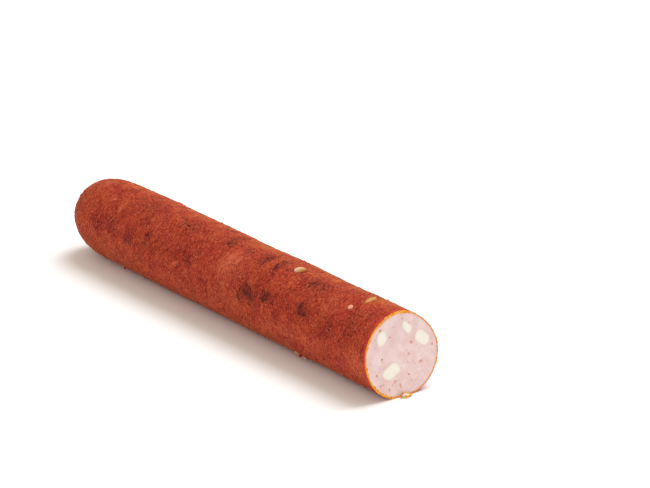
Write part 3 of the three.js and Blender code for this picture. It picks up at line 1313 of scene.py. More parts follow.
@dataclass
class Meat:
    """The meat: one solid from the cut face to the dome, just inside the casing."""

    form: StickForm
    wall: Wall
    overlap: float = 0.04 * MM
    cells: int = 150
    sink: float = 0.14 * MM
    relief: float = 0.24 * MM
    set_back: float = 0.1 * MM
    rim_steps: tuple[float, ...] = (0.25, 0.7, 1.6, 4.0)  # mm behind the cut
    body_start: float = 12 * MM
    body_rings: int = 8
    dome_rings: int = 9
    seed: float = 3.0

    def lattice(self) -> Lattice:
        """Lays out the points: a square grid, bent into the round face, and rings behind it.

        Returns:
            The lattice.
        """
        form = self.form
        cells = self.cells
        steps = np.linspace(-1, 1, cells + 1)
        wide, high = np.meshgrid(steps, steps, indexing="ij")
        sideways = np.abs(wide) > np.abs(high)
        reach = np.where(sideways, wide, high)
        safe = np.where(reach == 0, 1, reach)
        eighth = math.pi / 4
        angle = np.where(sideways, eighth * high / safe, 2 * eighth - eighth * wide / safe)
        angle = np.where(reach < 0, angle + math.pi, angle)
        index = np.arange((cells + 1) ** 2).reshape(cells + 1, cells + 1)
        corners = (index[:-1, :-1], index[1:, :-1], index[1:, 1:], index[:-1, 1:])
        faces = [tuple(face) for face in np.stack(corners, axis=-1).reshape(-1, 4).tolist()]
        rim = np.concatenate([index[-1, :-1], index[:0:-1, -1], index[0, :0:-1], index[:-1, 0]])
        rim_angles = angle.ravel()[rim]
        wall = self.wall.thick
        rows = [step * MM for step in self.rim_steps]
        rows += [*np.linspace(self.body_start, form.straight, self.body_rings)]
        rows += form.dome_backs(wall, self.dome_rings)
        around = len(rim)
        first = index.size
        ring = rim.tolist()
        for side in range(around):
            after = (side + 1) % around
            faces.append((ring[side], first + side, first + after, ring[after]))
        faces += ring_faces(first, len(rows), around)
        last = first + len(rows) * around
        for side in range(around):
            faces.append((last - around + side, last, last - around + (side + 1) % around))
        count = index.size
        angles = np.concatenate([angle.ravel(), np.tile(rim_angles, len(rows))])
        return Lattice(
            back=np.concatenate([np.zeros(count), np.repeat(rows, around), [form.sizes.length - wall]]),
            angle=np.append(angles, 0.0),
            inset=np.append(wall * self.wall.share(angles) - self.overlap, wall),
            reach=np.concatenate([np.abs(reach).ravel(), np.ones(len(rows) * around + 1)]),
            faces=faces,
            masks={"face": np.concatenate([np.ones(count), np.zeros(last + 1 - count)])},
        )

    def shape(self) -> ShapeTree:
        """Makes the tree: the stick's form, then the cut face's low relief.

        Returns:
            The tree.
        """
        tree = ShapeTree("Meat shape")
        graph = tree.graph
        place = self.form.lay_out(tree)
        waves = graph.noise(place, scale=0.22)
        waves = waves + graph.noise(place, scale=1.1, detail=3.0, roughness=0.6) * 0.45
        edge = tree.attribute("reach").rise(0.975, 1.0)
        ragged = graph.noise(place, scale=0.9) * 1.6 + 0.6
        height = waves * tree.number("Relief") - tree.number("Set back")
        height = height - edge * tree.number("Sink") * ragged.most(0.0)
        tree.push(graph.scaled(tuple(self.form.cut_normal), height * tree.attribute("face")))
        return tree.close()

    def build(self, finish: bpy.types.Material) -> bpy.types.Object:
        """Makes the meat.

        Args:
            finish: Its material.

        Returns:
            The piece.
        """
        own = {"Relief": self.relief, "Set back": self.set_back, "Sink": self.sink, "Seed": self.seed}
        values = {**self.form.sizes.named(), **own}
        return self.shape().run(self.lattice().to_object("meat_lattice"), "meat", finish, values)


# ---------------------------------------------------------------------------
# The cheese
# ---------------------------------------------------------------------------


@dataclass(frozen=True)
class Smoke:
    """How brown and how rosy a chunk is at its far end, towards the dome, and at its near end."""

    far: float = 0.0
    near: float = 0.0
    rosy_far: float = 0.0
    rosy_near: float = 0.0


@dataclass
class CheeseChunk:
    """One chunk of cheese, as its node has it, with worn corners and a fine surface."""

    node: str
    voxel: float = 0.16 * MM
    grow: float = 0.3 * MM
    smooth: int = 2
    relief: float = 0.22 * MM
    weld: float = 0.001 * MM
    smoke: Smoke = Smoke()

    def shape(self, form: StickForm) -> ShapeTree:
        """Makes the tree: the chunk grows to fill its pocket.

        Args:
            form: The stick's form.

        Returns:
            The tree.
        """
        tree = ShapeTree("Chunk shape")
        graph = tree.graph
        place = graph.scaled(tree.position(), PER_MM)
        bumps = graph.noise(place, scale=0.42) + graph.noise(place, scale=1.3) * 0.4
        height = tree.number("Grow") + bumps * tree.number("Relief")
        tree.push(graph.scaled(tree.normal(), height))
        self._trim(tree, form, bumps)
        return tree.close()

    def _trim(self, tree: ShapeTree, form: StickForm, bumps: Field) -> None:
        """Takes nothing off: the knife passes this chunk by."""

    def _values(self) -> dict[str, float]:
        """The tree's inputs, by name."""
        return {"Grow": self.grow, "Relief": self.relief}

    def build(self, form: StickForm, finish: bpy.types.Material) -> bpy.types.Object:
        """Makes the chunk.

        Args:
            form: The stick's form.
            finish: The chunk's material.

        Returns:
            The piece.
        """
        source = add_object(f"{self.node}_copy", self._welded_copy())
        remesh = source.modifiers.new("Even cells", "REMESH")
        remesh.mode = "VOXEL"
        remesh.voxel_size = self.voxel * 1
        worn = source.modifiers.new("Worn corners", "SMOOTH")
        worn.factor = 0.5
        worn.iterations = self.smooth
        name = self.node.replace("cheese_", "cheese_chunk_")
        piece = self.shape(form).run(source, name, finish, self._values())
        self._colour(piece.data, form)
        return piece

    def _welded_copy(self) -> bpy.types.Mesh:
        """Copies the node's mesh, and joins its loose triangles.

        Returns:
            The copy.
        """
        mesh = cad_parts[self.node].data.copy()
        welded = bmesh.new()
        welded.from_mesh(mesh)
        bmesh.ops.remove_doubles(welded, verts=welded.verts, dist=self.weld)
        welded.to_mesh(mesh)
        welded.free()
        mesh.materials.clear()
        return mesh

    def _colour(self, mesh: bpy.types.Mesh, form: StickForm) -> None:
        """Marks how smoked and rosy each point is, along the stick, and how much juice soaks it.

        Args:
            mesh: The chunk's mesh, which takes the marks.
            form: The stick's form.
        """
        places = np.empty(len(mesh.vertices) * 3, dtype=np.float32)
        mesh.vertices.foreach_get("co", places)
        places = places.reshape(-1, 3)
        along = places[:, 0]
        share = (along - along.min()) / max(np.ptp(along), 1e-9)
        smoke = self.smoke
        marks = {
            "smoke": smoke.far + (smoke.near - smoke.far) * share,
            "rosy": smoke.rosy_far + (smoke.rosy_near - smoke.rosy_far) * share,
            "rim": self._rim(places, form),
        }
        for name, values in marks.items():
            made = mesh.attributes.new(name, "FLOAT", "POINT")
            made.data.foreach_set("value", values.astype(np.float32))

    def _rim(self, places: np.ndarray, form: StickForm) -> np.ndarray:
        """How near each point is to the chunk's outline in the cut: this chunk has none."""
        return np.zeros(len(places))


@dataclass
class SkinChunk(CheeseChunk):
    """A chunk that lies bare in the skin, where smoke has coloured it."""

    grow: float = 0.2 * MM
    smooth: int = 4


@dataclass
class FaceChunk(CheeseChunk):
    """A chunk that the knife has cut. It stands a little out of the cut, and juice soaks its rim."""

    proud: float = 0.05 * MM
    soak: float = 1.15 * MM
    cut_band: float = 0.15 * MM
    sectors: int = 60

    def _values(self) -> dict[str, float]:
        """The tree's inputs, by name."""
        return {**super()._values(), "Proud": self.proud}

    def _trim(self, tree: ShapeTree, form: StickForm, bumps: Field) -> None:
        """Takes off what stands out of the cut.

        Args:
            tree: The chunk's tree.
            form: The stick's form.
            bumps: The chunk's uneven surface, of which a little is left.
        """
        graph = tree.graph
        normal = tuple(form.cut_normal)
        from_cut = graph.vector_math("SUBTRACT", tree.position(), tuple(form.cut_middle))
        over = graph.dot(from_cut, normal) - tree.number("Proud") - bumps * 0.1 * MM
        tree.push(graph.scaled(normal, -over.most(0.0)))

    def _rim(self, places: np.ndarray, form: StickForm) -> np.ndarray:
        """How near each point is to the chunk's outline in the cut.

        Args:
            places: The chunk's points.
            form: The stick's form.

        Returns:
            The nearness, from 0 inside to 1 at the outline.
        """
        normal = np.array(form.cut_normal)
        height = (places - np.array(form.cut_middle)) @ normal
        in_cut = height > -self.cut_band
        side = np.cross(normal, (0.0, 0.0, 1.0))
        flat = np.stack([places @ side, places @ np.cross(side, normal)], axis=1)
        flat = flat - flat[in_cut].mean(axis=0)
        angle = np.arctan2(flat[:, 1], flat[:, 0])
        radius = np.hypot(flat[:, 0], flat[:, 1])
        sector = ((angle / TURN + 0.5) * self.sectors).astype(int) % self.sectors
        widest = np.zeros(self.sectors)
        np.maximum.at(widest, sector[in_cut], radius[in_cut])
        middles = (np.arange(self.sectors) + 0.5) / self.sectors * TURN - TURN / 2
        outline = np.interp(angle, middles, widest, period=TURN)
        return np.clip(1 - (outline - radius) / self.soak, 0, 1)


CHUNKS = (
    FaceChunk("cheese_face_left"),
    FaceChunk("cheese_face_top"),
    FaceChunk("cheese_face_right", grow=0.55 * MM),
    FaceChunk("cheese_face_low", grow=0.32 * MM),
    SkinChunk("cheese_skin_mid", grow=0.25 * MM, smoke=Smoke(0.0, 1.05, 0.55, 0.2)),
    SkinChunk("cheese_skin_small", voxel=0.1 * MM, smoke=Smoke(0.3, 0.35, 1.0, 1.0)),
    SkinChunk("cheese_skin_near", voxel=0.12 * MM, smoke=Smoke(1.0, 0.9, 0.2, 0.2)),
)


# ---------------------------------------------------------------------------
# Bits of meat, spice and casing
# ---------------------------------------------------------------------------


class BitKind(Enum):
    """What a small bit is, with its colour."""

    LEAN = linear(0.74, 0.28, 0.20)
    PAPRIKA = linear(0.66, 0.16, 0.09)
    PEPPER = linear(0.40, 0.10, 0.09)
    FAT = linear(0.93, 0.84, 0.80)
    FAINT_RED = linear(0.79, 0.48, 0.42)
    RIND = linear(0.93, 0.40, 0.003)
    RIND_DARK = linear(0.74, 0.24, 0.008)
    RIND_PALE = linear(0.97, 0.60, 0.14)
    CREAM = linear(0.99, 0.91, 0.74)
    CASING_RED = linear(0.42, 0.035, 0.022)
    CASING_TAN = linear(0.62, 0.24, 0.08)
    PINK = linear(0.62, 0.18, 0.14)


@dataclass(frozen=True)
class Speck:
    """One speck in the cut. Across and up are from the cut's middle, and sizes are half widths, in mm."""

    kind: BitKind
    across: float
    up: float
    long: float
    wide: float
    turn: float = 0.0
    deep: float = 0.3


@dataclass(frozen=True)
class SkinBit:
    """One small bit on the skin, by how far back and round it lies, with half widths in mm.

    Out is how far its middle stands out of the skin.
    """

    kind: BitKind
    back: float
    angle: float
    long: float
    wide: float
    turn: float = 0.0
    out: float = 0.0
    deep: float = 0.3


@dataclass
class BitHeap:
    """Small bits of one finish, as one piece. Each is a lump that Geometry Nodes put in its place.

    The roughness is in mm, and splits says how often each lump's faces are divided.
    """

    name: str
    roughness: float = 0.3
    splits: int = 3
    places: list[Vector] = field(default_factory=list)
    sizes: list[Vector] = field(default_factory=list)
    turns: list[Vector] = field(default_factory=list)
    tints: list[Vector] = field(default_factory=list)

    def add(self, place: Vector, long_way: Vector, out: Vector, size: Vector, kind: BitKind) -> None:
        """Adds a bit.

        Args:
            place: Its middle.
            long_way: The way of its long side.
            out: The way that its top looks.
            size: Half its length, width and thickness.
            kind: What it is.
        """
        out = out.normalized()
        long_way = (long_way - out * long_way.dot(out)).normalized()
        turned = Matrix((long_way, out.cross(long_way), out)).transposed()
        self.places.append(place)
        self.sizes.append(size)
        self.turns.append(Vector(turned.to_euler()))
        self.tints.append(Vector(kind.value[:3]))

    def shape(self) -> ShapeTree:
        """Makes the tree: a lump on each point, with an uneven surface.

        Returns:
            The tree.
        """
        tree = ShapeTree("Bits")
        graph = tree.graph
        turned = graph.node("FunctionNodeEulerToRotation", {0: tree.attribute("turned", "FLOAT_VECTOR")})
        feeds = {
            "Points": tree.geometry,
            "Rotation": turned.outputs[0],
            "Scale": tree.attribute("size", "FLOAT_VECTOR"),
        }
        tree.strew(tree.takes("Splits", "NodeSocketInt", 2), feeds)
        place = graph.scaled(tree.position(), PER_MM)
        uneven = graph.noise(place, scale=1.4) + graph.noise(place, scale=4.0, detail=1.0) * 0.3
        tree.push(graph.scaled(tree.normal(), uneven * tree.number("Roughness")))
        tree.keep_over_floor()
        return tree.close()

    def build(self, finish: bpy.types.Material) -> bpy.types.Object:
        """Makes the piece.

        Args:
            finish: Its material.

        Returns:
            The piece.
        """
        rows = {"size": self.sizes, "turned": self.turns, "tint": self.tints}
        masks = {name: np.array([tuple(row) for row in values]) for name, values in rows.items()}
        points = np.array([tuple(place) for place in self.places])
        source = add_object(f"{self.name}_points", mesh_from(self.name, points, [], masks))
        values = {"Roughness": self.roughness * MM, "Splits": self.splits}
        return self.shape().run(source, self.name, finish, values)


@dataclass
class MeatSpecks:
    """Specks in the cut face: lean, paprika and pepper. Some are listed one by one, and the finest placed by
    a rule.
    """

    form: StickForm
    specks: tuple[Speck, ...] = (
        Speck(BitKind.PAPRIKA, -9.7, 13.1, 1.3, 0.5, 55),
        Speck(BitKind.PEPPER, -5.0, 9.1, 0.5, 0.4),
        Speck(BitKind.LEAN, 5.7, 4.4, 0.8, 0.6, 30),
        Speck(BitKind.PAPRIKA, 16.3, 1.1, 1.2, 0.5, 75),
        Speck(BitKind.LEAN, 4.1, -0.3, 0.8, 0.75, 60),
        Speck(BitKind.FAINT_RED, 5.2, 0.3, 0.4, 0.3),
        Speck(BitKind.PEPPER, -10.1, 0.4, 0.6, 0.5, 80),
        Speck(BitKind.LEAN, -10.1, -0.8, 0.5, 0.3, 90),
        Speck(BitKind.LEAN, 9.8, -4.9, 1.3, 0.6, 20),
        Speck(BitKind.FAINT_RED, 11.2, -4.0, 0.8, 0.4, 20),
        Speck(BitKind.PAPRIKA, -13.5, -6.0, 0.9, 0.35, 120),
        Speck(BitKind.FAINT_RED, -14.0, -4.2, 0.8, 0.3, 100),
        Speck(BitKind.LEAN, 3.0, -9.4, 0.7, 0.5),
        Speck(BitKind.LEAN, 4.2, -12.4, 0.5, 0.5),
        Speck(BitKind.FAINT_RED, -4.5, -10.9, 1.8, 1.0, 30),
        Speck(BitKind.FAINT_RED, -1.7, -13.4, 0.8, 1.9, 20),
        Speck(BitKind.LEAN, -11.8, -11.1, 0.7, 0.5, 20),
        Speck(BitKind.FAINT_RED, -10.3, -10.8, 0.9, 0.5, 60),
        Speck(BitKind.LEAN, -6.0, -12.1, 0.5, 0.4),
        Speck(BitKind.LEAN, -7.7, -13.7, 0.7, 0.5, 120),
        Speck(BitKind.RIND_PALE, 7.7, 13.5, 0.5, 0.5),
        Speck(BitKind.PEPPER, 2.2, 15.8, 0.45, 0.35),
        Speck(BitKind.FAINT_RED, -2.8, 13.2, 0.9, 0.4, 20),
        Speck(BitKind.FAINT_RED, 9.1, 11.4, 0.5, 0.35),
        Speck(BitKind.FAINT_RED, 13.0, -5.6, 0.5, 0.4),
        Speck(BitKind.FAINT_RED, -12.9, 6.2, 0.9, 0.3, 60),
    )
    sunk: float = 0.02  # mm that a speck's top, and then its halo, lies under the cut
    halo_long: float = 1.5
    halo_wide: float = 1.9
    fine: int = 80
    fine_seed: int = 5
    fine_sizes: tuple[float, float] = (0.12, 0.28)
    fine_depth: float = 0.2
    fine_margin: float = 1.5  # mm along the rim that the finest specks leave free

    def build(self, finish: bpy.types.Material) -> bpy.types.Object:
        """Makes the specks.

        Args:
            finish: Their material.

        Returns:
            The piece.
        """
        heap = BitHeap("meat_specks", roughness=0.25, splits=3)
        for speck in self.specks + self._fine_specks():
            self._lay(heap, speck)
        return heap.build(finish)

    def _lay(self, heap: BitHeap, speck: Speck) -> None:
        """Adds a speck. One of lean or paprika has a faint red halo.

        Args:
            heap: What takes it.
            speck: The speck.
        """
        normal = self.form.cut_normal
        across, up = speck.across * MM, speck.up * MM
        turn = speck.turn * DEG
        ahead = self.form.on_cut(across + math.cos(turn) * MM, up + math.sin(turn) * MM)
        long_way = ahead - self.form.on_cut(across, up)
        place = self.form.on_cut(across, up, (-speck.deep - self.sunk) * MM)
        size = Vector((speck.long, speck.wide, speck.deep)) * MM
        heap.add(place, long_way, normal, size, speck.kind)
        if speck.kind in (BitKind.LEAN, BitKind.PAPRIKA):
            halo = Vector((speck.long * self.halo_long, speck.wide * self.halo_wide, speck.deep)) * MM
            heap.add(place - normal * self.sunk * MM, long_way, normal, halo, BitKind.FAINT_RED)

    def _fine_specks(self) -> tuple[Speck, ...]:
        """Scatters the finest specks evenly over the face.

        Returns:
            The specks.
        """
        draw = np.random.default_rng(self.fine_seed)
        kinds = [BitKind.FAINT_RED] * 6 + [BitKind.LEAN] * 2 + [BitKind.FAT] * 3
        reach = self.form.radius * PER_MM - self.fine_margin
        made = []
        for _ in range(self.fine):
            out = reach * math.sqrt(draw.uniform())
            angle = draw.uniform(0, TURN)
            wide = draw.uniform(*self.fine_sizes)
            kind = kinds[int(draw.integers(len(kinds)))]
            long = wide * draw.uniform(1.0, 1.8)
            turn = draw.uniform(0, 180)
            across, up = out * math.cos(angle), out * math.sin(angle)
            made.append(Speck(kind, across, up, long, wide, turn, self.fine_depth))
        return tuple(made)


@dataclass(frozen=True)
class Pad:
    """A lump at the cut's foot. Its place and half sizes are across, over the floor and forward, in mm."""

    kind: BitKind
    place: Triple
    size: Triple


@dataclass(frozen=True)
class Thread:
    """A thread of casing at the cut's foot, with its thickness at both ends, and its beads a step apart.

    Its bends are across, over the floor and forward. All are in mm.
    """

    kind: BitKind
    thick: tuple[float, float]
    bends: tuple[Triple, ...]
    step: float = 0.22


@dataclass
class RimCrumbs:
    """Crumbs of casing that the knife left along the cut's rim, and the torn curl at its foot.

    The sizes of the crumbs and their heights over the cut are in mm, and their reaches in walls.
    """

    form: StickForm
    wall: Wall
    count: int = 270
    seed: int = 21
    torn: tuple[tuple[float, float], ...] = ((82, 6), (90, 6), (97, 7), (106, 9), (232, 18))  # angle, spread
    torn_share: float = 0.65
    torn_reach: float = 1.6
    reach: float = 1.1
    sizes: tuple[float, float] = (0.16, 0.36)
    heights: tuple[float, float] = (-0.16, 0.02)
    kinds: tuple[BitKind, ...] = (*(BitKind.RIND,) * 3, BitKind.RIND_DARK, BitKind.RIND_PALE)
    pads: tuple[Pad, ...] = (
        Pad(BitKind.CREAM, (-0.9, 0.7, 0.8), (1.8, 0.85, 1.5)),
        Pad(BitKind.CREAM, (0.3, 0.5, 1.3), (1.5, 0.6, 1.2)),
        Pad(BitKind.RIND, (-1.1, 0.36, 2.9), (0.85, 0.36, 0.45)),
        Pad(BitKind.RIND, (-0.4, 0.42, 2.7), (0.6, 0.4, 0.45)),
    )
    threads: tuple[Thread, ...] = (
        Thread(
            kind=BitKind.RIND_DARK,
            thick=(0.26, 0.18),
            bends=((-3.3, 0.25, 1.9), (-2.7, 1.1, 1.4), (-1.9, 1.7, 1.0), (-0.9, 1.9, 0.9)),
        ),
        Thread(
            kind=BitKind.RIND_PALE,
            thick=(0.18, 0.24),
            bends=((-0.9, 1.9, 0.9), (0.1, 1.7, 0.9), (0.9, 1.2, 1.1), (1.4, 0.9, 1.3)),
        ),
        Thread(
            kind=BitKind.RIND_PALE,
            thick=(0.2, 0.22),
            bends=((-3.3, 0.22, 2.1), (-2.6, 0.22, 2.7), (-1.6, 0.24, 3.0)),
        ),
        Thread(
            kind=BitKind.RIND,
            thick=(0.24, 0.4),
            bends=((2.4, 0.85, 1.1), (1.7, 0.5, 2.0), (0.9, 0.4, 2.8)),
        ),
    )

    def build(self, finish: bpy.types.Material) -> bpy.types.Object:
        """Makes the crumbs.

        Args:
            finish: Their material.

        Returns:
            The piece.
        """
        heap = BitHeap("rim_crumbs", splits=2)
        draw = np.random.default_rng(self.seed)
        for _ in range(self.count):
            self._crumb(heap, draw)
        self._curl(heap, draw)
        return heap.build(finish)

    def _rim(self, angle: float) -> float:
        """How far the rim lies from the face's middle, at an angle."""
        lobes = sum(lobe.height * math.cos(lobe.count * (angle - lobe.peak)) for lobe in self.form.lobes)
        return self.form.radius + self.form.sizes.cut_flare + lobes

    def _crumb(self, heap: BitHeap, draw: np.random.Generator) -> None:
        """Adds one crumb, more likely where the rim is torn.

        Args:
            heap: What takes it.
            draw: Where its random numbers come from.
        """
        torn = draw.uniform() < self.torn_share
        if torn:
            centre, spread = self.torn[int(draw.integers(len(self.torn)))]
            angle = draw.normal(centre, spread) * DEG
        else:
            angle = draw.uniform(0, TURN)
        inset = draw.uniform(0.05, self.torn_reach if torn else self.reach)
        out = self._rim(angle) - inset * self.wall.thick * float(self.wall.share(angle))
        across, up = out * math.cos(angle), out * math.sin(angle)
        size = draw.uniform(*self.sizes)
        up = max(up, -self.form.axis_height + size * MM)
        place = self.form.on_cut(across, up, draw.uniform(*self.heights) * MM)
        along = Vector((0.0, -math.sin(angle), math.cos(angle)))
        kind = self.kinds[int(draw.integers(len(self.kinds)))]
        shape = Vector((size * draw.uniform(1.0, 2.2), size, size * 0.7)) * MM
        heap.add(place, along, self.form.cut_normal, shape, kind)

    def _curl(self, heap: BitHeap, draw: np.random.Generator) -> None:
        """Adds the curl: a pale pad under a thin arch of casing, with a thicker lip in front.

        Args:
            heap: What takes its lumps.
            draw: Where its random numbers come from.
        """
        for pad in self.pads:
            self._lump(heap, pad.place, pad.size, pad.kind)
        for thread in self.threads:
            bends = np.array(thread.bends)
            run = np.concatenate([[0], np.cumsum(np.linalg.norm(np.diff(bends, axis=0), axis=1))])
            for along in np.arange(0, run[-1], thread.step):
                place = tuple(float(np.interp(along, run, bends[:, axis])) for axis in range(3))
                first, last = thread.thick
                thick = (first + (last - first) * (along / run[-1])) * draw.uniform(0.8, 1.25)
                self._lump(heap, place, (thick * 1.3, thick, thick), thread.kind)

    def _lump(self, heap: BitHeap, place: Triple, size: Triple, kind: BitKind) -> None:
        """Adds a lump in front of the face.

        Args:
            heap: What takes it.
            place: Where it is across, over the floor and forward, in mm.
            size: Its half sizes in the same directions.
            kind: What it is.
        """
        across, up, forward = place
        low = -self.form.axis_height
        middle = self.form.on_cut(across * MM, low + up * MM, forward * MM)
        heap.add(middle, Vector((0.0, 1.0, 0.0)), self.form.cut_normal, Vector(size) * MM, kind)


@dataclass
class SkinScraps:
    """Scraps that stick to the skin: the torn flake underneath, and a few odd bits."""

    form: StickForm
    scraps: tuple[SkinBit, ...] = (
        SkinBit(BitKind.CASING_TAN, 64.2, 226, 1.2, 0.7, 20, 0.25, 0.5),
        SkinBit(BitKind.RIND_PALE, 64.9, 223, 0.6, 0.45, 40, 0.3, 0.4),
        SkinBit(BitKind.CASING_RED, 63.4, 229, 0.45, 0.9, 0, 0.75, 0.6),
        SkinBit(BitKind.CASING_RED, 61.5, 227, 1.0, 0.5, 10, 0.3, 0.4),
        SkinBit(BitKind.CASING_TAN, 60.0, 228, 0.7, 0.4, 10, 0.35, 0.35),
        SkinBit(BitKind.FAT, 60.8, 231, 1.3, 0.35, 5, 0.55, 0.25),
        SkinBit(BitKind.CASING_RED, 58.2, 230, 1.6, 0.35, 10, 0.35, 0.3),
        SkinBit(BitKind.CASING_RED, 219.0, 229, 0.9, 0.5, 0, 0.35, 0.45),
        SkinBit(BitKind.CASING_TAN, 224.0, 228, 0.5, 0.4, 0, 0.2, 0.3),
        SkinBit(BitKind.CASING_RED, 201.0, 230, 0.6, 0.4, 0, 0.15, 0.35),
        SkinBit(BitKind.PINK, 229.0, 122, 0.9, 0.5, 60, 0.05, 0.2),
        SkinBit(BitKind.RIND_PALE, 263.5, 172, 0.5, 0.5, 0, 0.1, 0.3),
    )

    def build(self, casing: bpy.types.Object, finish: bpy.types.Material) -> bpy.types.Object:
        """Makes the scraps.

        Args:
            casing: The skin that they lie on.
            finish: Their material.

        Returns:
            The piece.
        """
        heap = BitHeap("skin_scraps")
        points = [vertex.co for vertex in casing.data.vertices]
        skin = BVHTree.FromPolygons(points, [face.vertices for face in casing.data.polygons])
        middle = self.form.cut_middle
        forward = Vector((1.0, 0.0, 0.0))
        for scrap in self.scraps:
            side = scrap.angle * DEG
            out = Vector((0.0, math.cos(side), math.sin(side)))
            far = Vector((middle.x - scrap.back * MM, middle.y, middle.z)) + out * self.form.sizes.calibre
            place, normal, _, _ = skin.ray_cast(far, -out)
            turn = scrap.turn * DEG
            long_way = forward * math.cos(turn) + out.cross(forward) * math.sin(turn)
            size = Vector((scrap.long, scrap.wide, scrap.deep)) * MM
            heap.add(place + normal * scrap.out * MM, long_way, normal, size, scrap.kind)
        return heap.build(finish)


@dataclass
class SkinGrains:
    """Fine grains of dried meat and smoke on the skin, which give its outline a fuzzy look."""

    density: float = 170000.0  # for each square metre
    size: float = 0.2 * MM
    seed: int = 4

    def shape(self) -> ShapeTree:
        """Makes the tree: grains strewn over the outside, drawn out round the stick.

        Returns:
            The tree.
        """
        tree = ShapeTree("Skin grains")
        graph = tree.graph
        wanted = tree.attribute("outside") - tree.attribute("edge") * 2.0
        feeds = {"A": wanted, "B": 0.9}
        chosen = graph.node("FunctionNodeCompare", feeds, data_type="FLOAT", operation="GREATER_THAN")
        feeds = {
            "Mesh": tree.geometry,
            "Selection": chosen.outputs[0],
            "Density": tree.number("Density"),
            "Seed": tree.takes("Seed", "NodeSocketInt", 0),
        }
        strewn = graph.node("GeometryNodeDistributePointsOnFaces", feeds)
        luck = tree.random(0.0, 1.0, 1)
        width = tree.number("Size") * (0.5 + luck * luck * 0.9 + luck**14 * 1.5)
        length = width * tree.random(0.9, 1.8, 2)
        turn = graph.point(0.0, 0.0, tree.random(0.0, 3.14, 3))
        spin = graph.node("FunctionNodeEulerToRotation", {0: turn}).outputs[0]
        feeds = {"Rotation": strewn.outputs["Rotation"], "Rotate By": spin}
        turned = graph.node("FunctionNodeRotateRotation", feeds, rotation_space="LOCAL").outputs[0]
        feeds = {
            "Points": strewn.outputs["Points"],
            "Rotation": turned,
            "Scale": graph.point(width, length, width * 0.7),
        }
        tree.strew(1, feeds)
        tree.keep_over_floor()
        return tree.close()

    def build(self, casing: bpy.types.Object, finish: bpy.types.Material) -> bpy.types.Object:
        """Makes the grains.

        Args:
            casing: The skin that they lie on.
            finish: Their material.

        Returns:
            The piece.
        """
        source = add_object("grain_ground", casing.data.copy())
        values = {"Density": self.density, "Size": self.size, "Seed": self.seed}
        return self.shape().run(source, "skin_grains", finish, values)


# ---------------------------------------------------------------------------
# The studio
# ---------------------------------------------------------------------------


@dataclass(frozen=True)
class SoftLight:
    """A broad round light that looks at the sausage. Its size is in metres, and its power in watts."""

    name: str
    place: Triple
    size: float
    power: float
    colour: Triple = (1.0, 1.0, 1.0)

    def build(self, target: Vector) -> None:
        """Puts the light into the scene.

        Args:
            target: What it looks at.
        """
        data = bpy.data.lights.new(self.name, "AREA")
        data.shape = "DISK"
        data.size = self.size
        data.energy = self.power
        data.color = self.colour
        lamp = bpy.data.objects.new(self.name, data)
        lamp.location = self.place
        lamp.rotation_euler = (target - Vector(self.place)).to_track_quat("-Z", "Y").to_euler()
        bpy.context.scene.collection.objects.link(lamp)


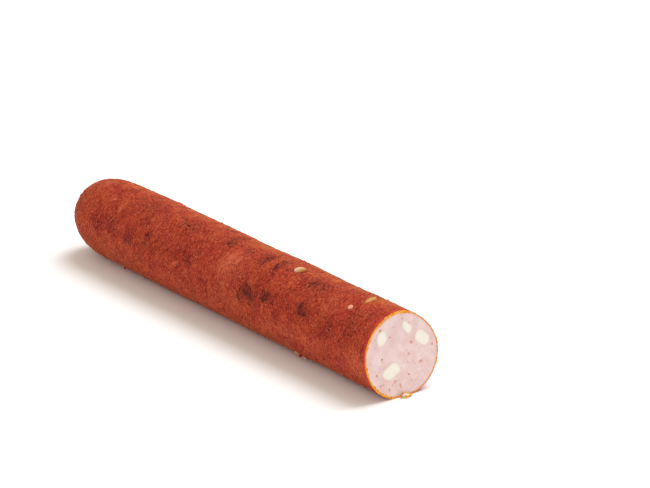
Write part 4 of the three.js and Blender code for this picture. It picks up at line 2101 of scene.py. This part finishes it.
@dataclass
class Studio:
    """A white floor, soft lights and the camera at the photo's angle."""

    camera_place: Triple = (1.84477, -1.05257, 0.74351)
    camera_right: Triple = (0.5268, 0.8480, -0.0580)
    camera_back: Triple = (0.8150, -0.4846, 0.3177)
    camera_range: tuple[float, float] = (0.01, 100.0)
    focal_pixels: float = 4997.33
    image_width: float = 650.0
    sensor: float = 36.0  # mm
    floor_size: float = 60.0
    floor_colour: Colour = linear(0.96, 0.96, 0.96)
    sky: float = 0.65
    sky_colour: Colour = linear(1.0, 0.93, 0.79)
    exposure: float = 0.0
    lights: tuple[SoftLight, ...] = (
        SoftLight("key", (-0.05, 0.95, 1.72), 1.6, 35.0, (0.93, 0.97, 1.06)),
        SoftLight("front", (1.7, -1.3, 0.95), 1.4, 11.4),
    )

    def build(self) -> None:
        """Builds the camera, the floor, the lights and the sky."""
        self._camera()
        self._floor()
        self._sky()
        for light in self.lights:
            light.build(Vector((0.0, 0.0, 0.0)))
        scene = bpy.context.scene
        scene.view_settings.view_transform = "Standard"
        scene.view_settings.look = "None"
        scene.view_settings.exposure = self.exposure

    def _camera(self) -> None:
        """Adds the camera."""
        back = Vector(self.camera_back).normalized()
        right = Vector(self.camera_right)
        right = (right - back * right.dot(back)).normalized()
        up = back.cross(right)
        data = bpy.data.cameras.new("camera")
        data.sensor_width = self.sensor
        data.lens = self.focal_pixels / self.image_width * self.sensor
        data.clip_start, data.clip_end = self.camera_range
        camera = bpy.data.objects.new("camera", data)
        turned = Matrix((right, up, back)).transposed().to_4x4()
        camera.matrix_world = Matrix.Translation(self.camera_place) @ turned
        bpy.context.scene.collection.objects.link(camera)
        bpy.context.scene.camera = camera

    def _floor(self) -> None:
        """Adds the pale floor."""
        half = self.floor_size / 2
        corners = np.array([(-half, -half, 0), (half, -half, 0), (half, half, 0), (-half, half, 0)])
        floor = add_object("floor", mesh_from("floor", corners, [(0, 1, 2, 3)], {}))
        paint = FinishGraph("pale_floor")
        paint.set(Base_Color=self.floor_colour, Roughness=1.0, Specular_IOR_Level=0.0)
        floor.data.materials.append(paint.material)

    def _sky(self) -> None:
        """Adds an even warm sky."""
        world = bpy.data.worlds.new("studio")
        world.use_nodes = True
        shade = world.node_tree.nodes["Background"]
        shade.inputs["Color"].default_value = self.sky_colour
        shade.inputs["Strength"].default_value = self.sky
        bpy.context.scene.world = world


def hand_over(piece: bpy.types.Object, slot: str, *nodes: str) -> None:
    """Makes a piece ride on the body, and reports it.

    Args:
        piece: The piece.
        slot: Not used.
        nodes: The CAD nodes that it stands for.
    """
    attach(piece, BODY)
    if nodes:
        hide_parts(*nodes)
    piece.data.calc_loop_triangles()
    LOG.info("%s: %d triangles", piece.name, len(piece.data.loop_triangles))


def main() -> None:
    """Builds the finishes, then the sausage piece by piece, then the studio."""
    logging.basicConfig(level=logging.INFO, format="%(name)s: %(message)s")
    effects = SharedEffects()
    form = StickForm()
    skin_finish = SkinFinish().build(effects)
    meat_finish = MeatFinish().build(effects)
    cheese_finish = CheeseFinish().build(effects)
    speck_finish = BitFinish("meat_speck").build(effects)
    scrap_finish = BitFinish("casing_scrap").build(effects)
    casing = Casing(form)
    skin = casing.build(skin_finish)
    hand_over(skin, "smoked_skin", "sausage")
    hand_over(SkinGrains().build(skin, skin_finish), "smoked_skin", "sausage")
    hand_over(SkinScraps(form).build(skin, scrap_finish), "smoked_skin", "sausage")
    hand_over(RimCrumbs(form, casing.wall).build(scrap_finish), "smoked_skin", "sausage")
    hand_over(Meat(form, casing.wall).build(meat_finish), "meat", "sausage")
    hand_over(MeatSpecks(form).build(speck_finish), "meat", "sausage")
    for chunk in CHUNKS:
        hand_over(chunk.build(form, cheese_finish), "cheese", chunk.node)
    Studio().build()


if __name__ == "__main__":
    main()
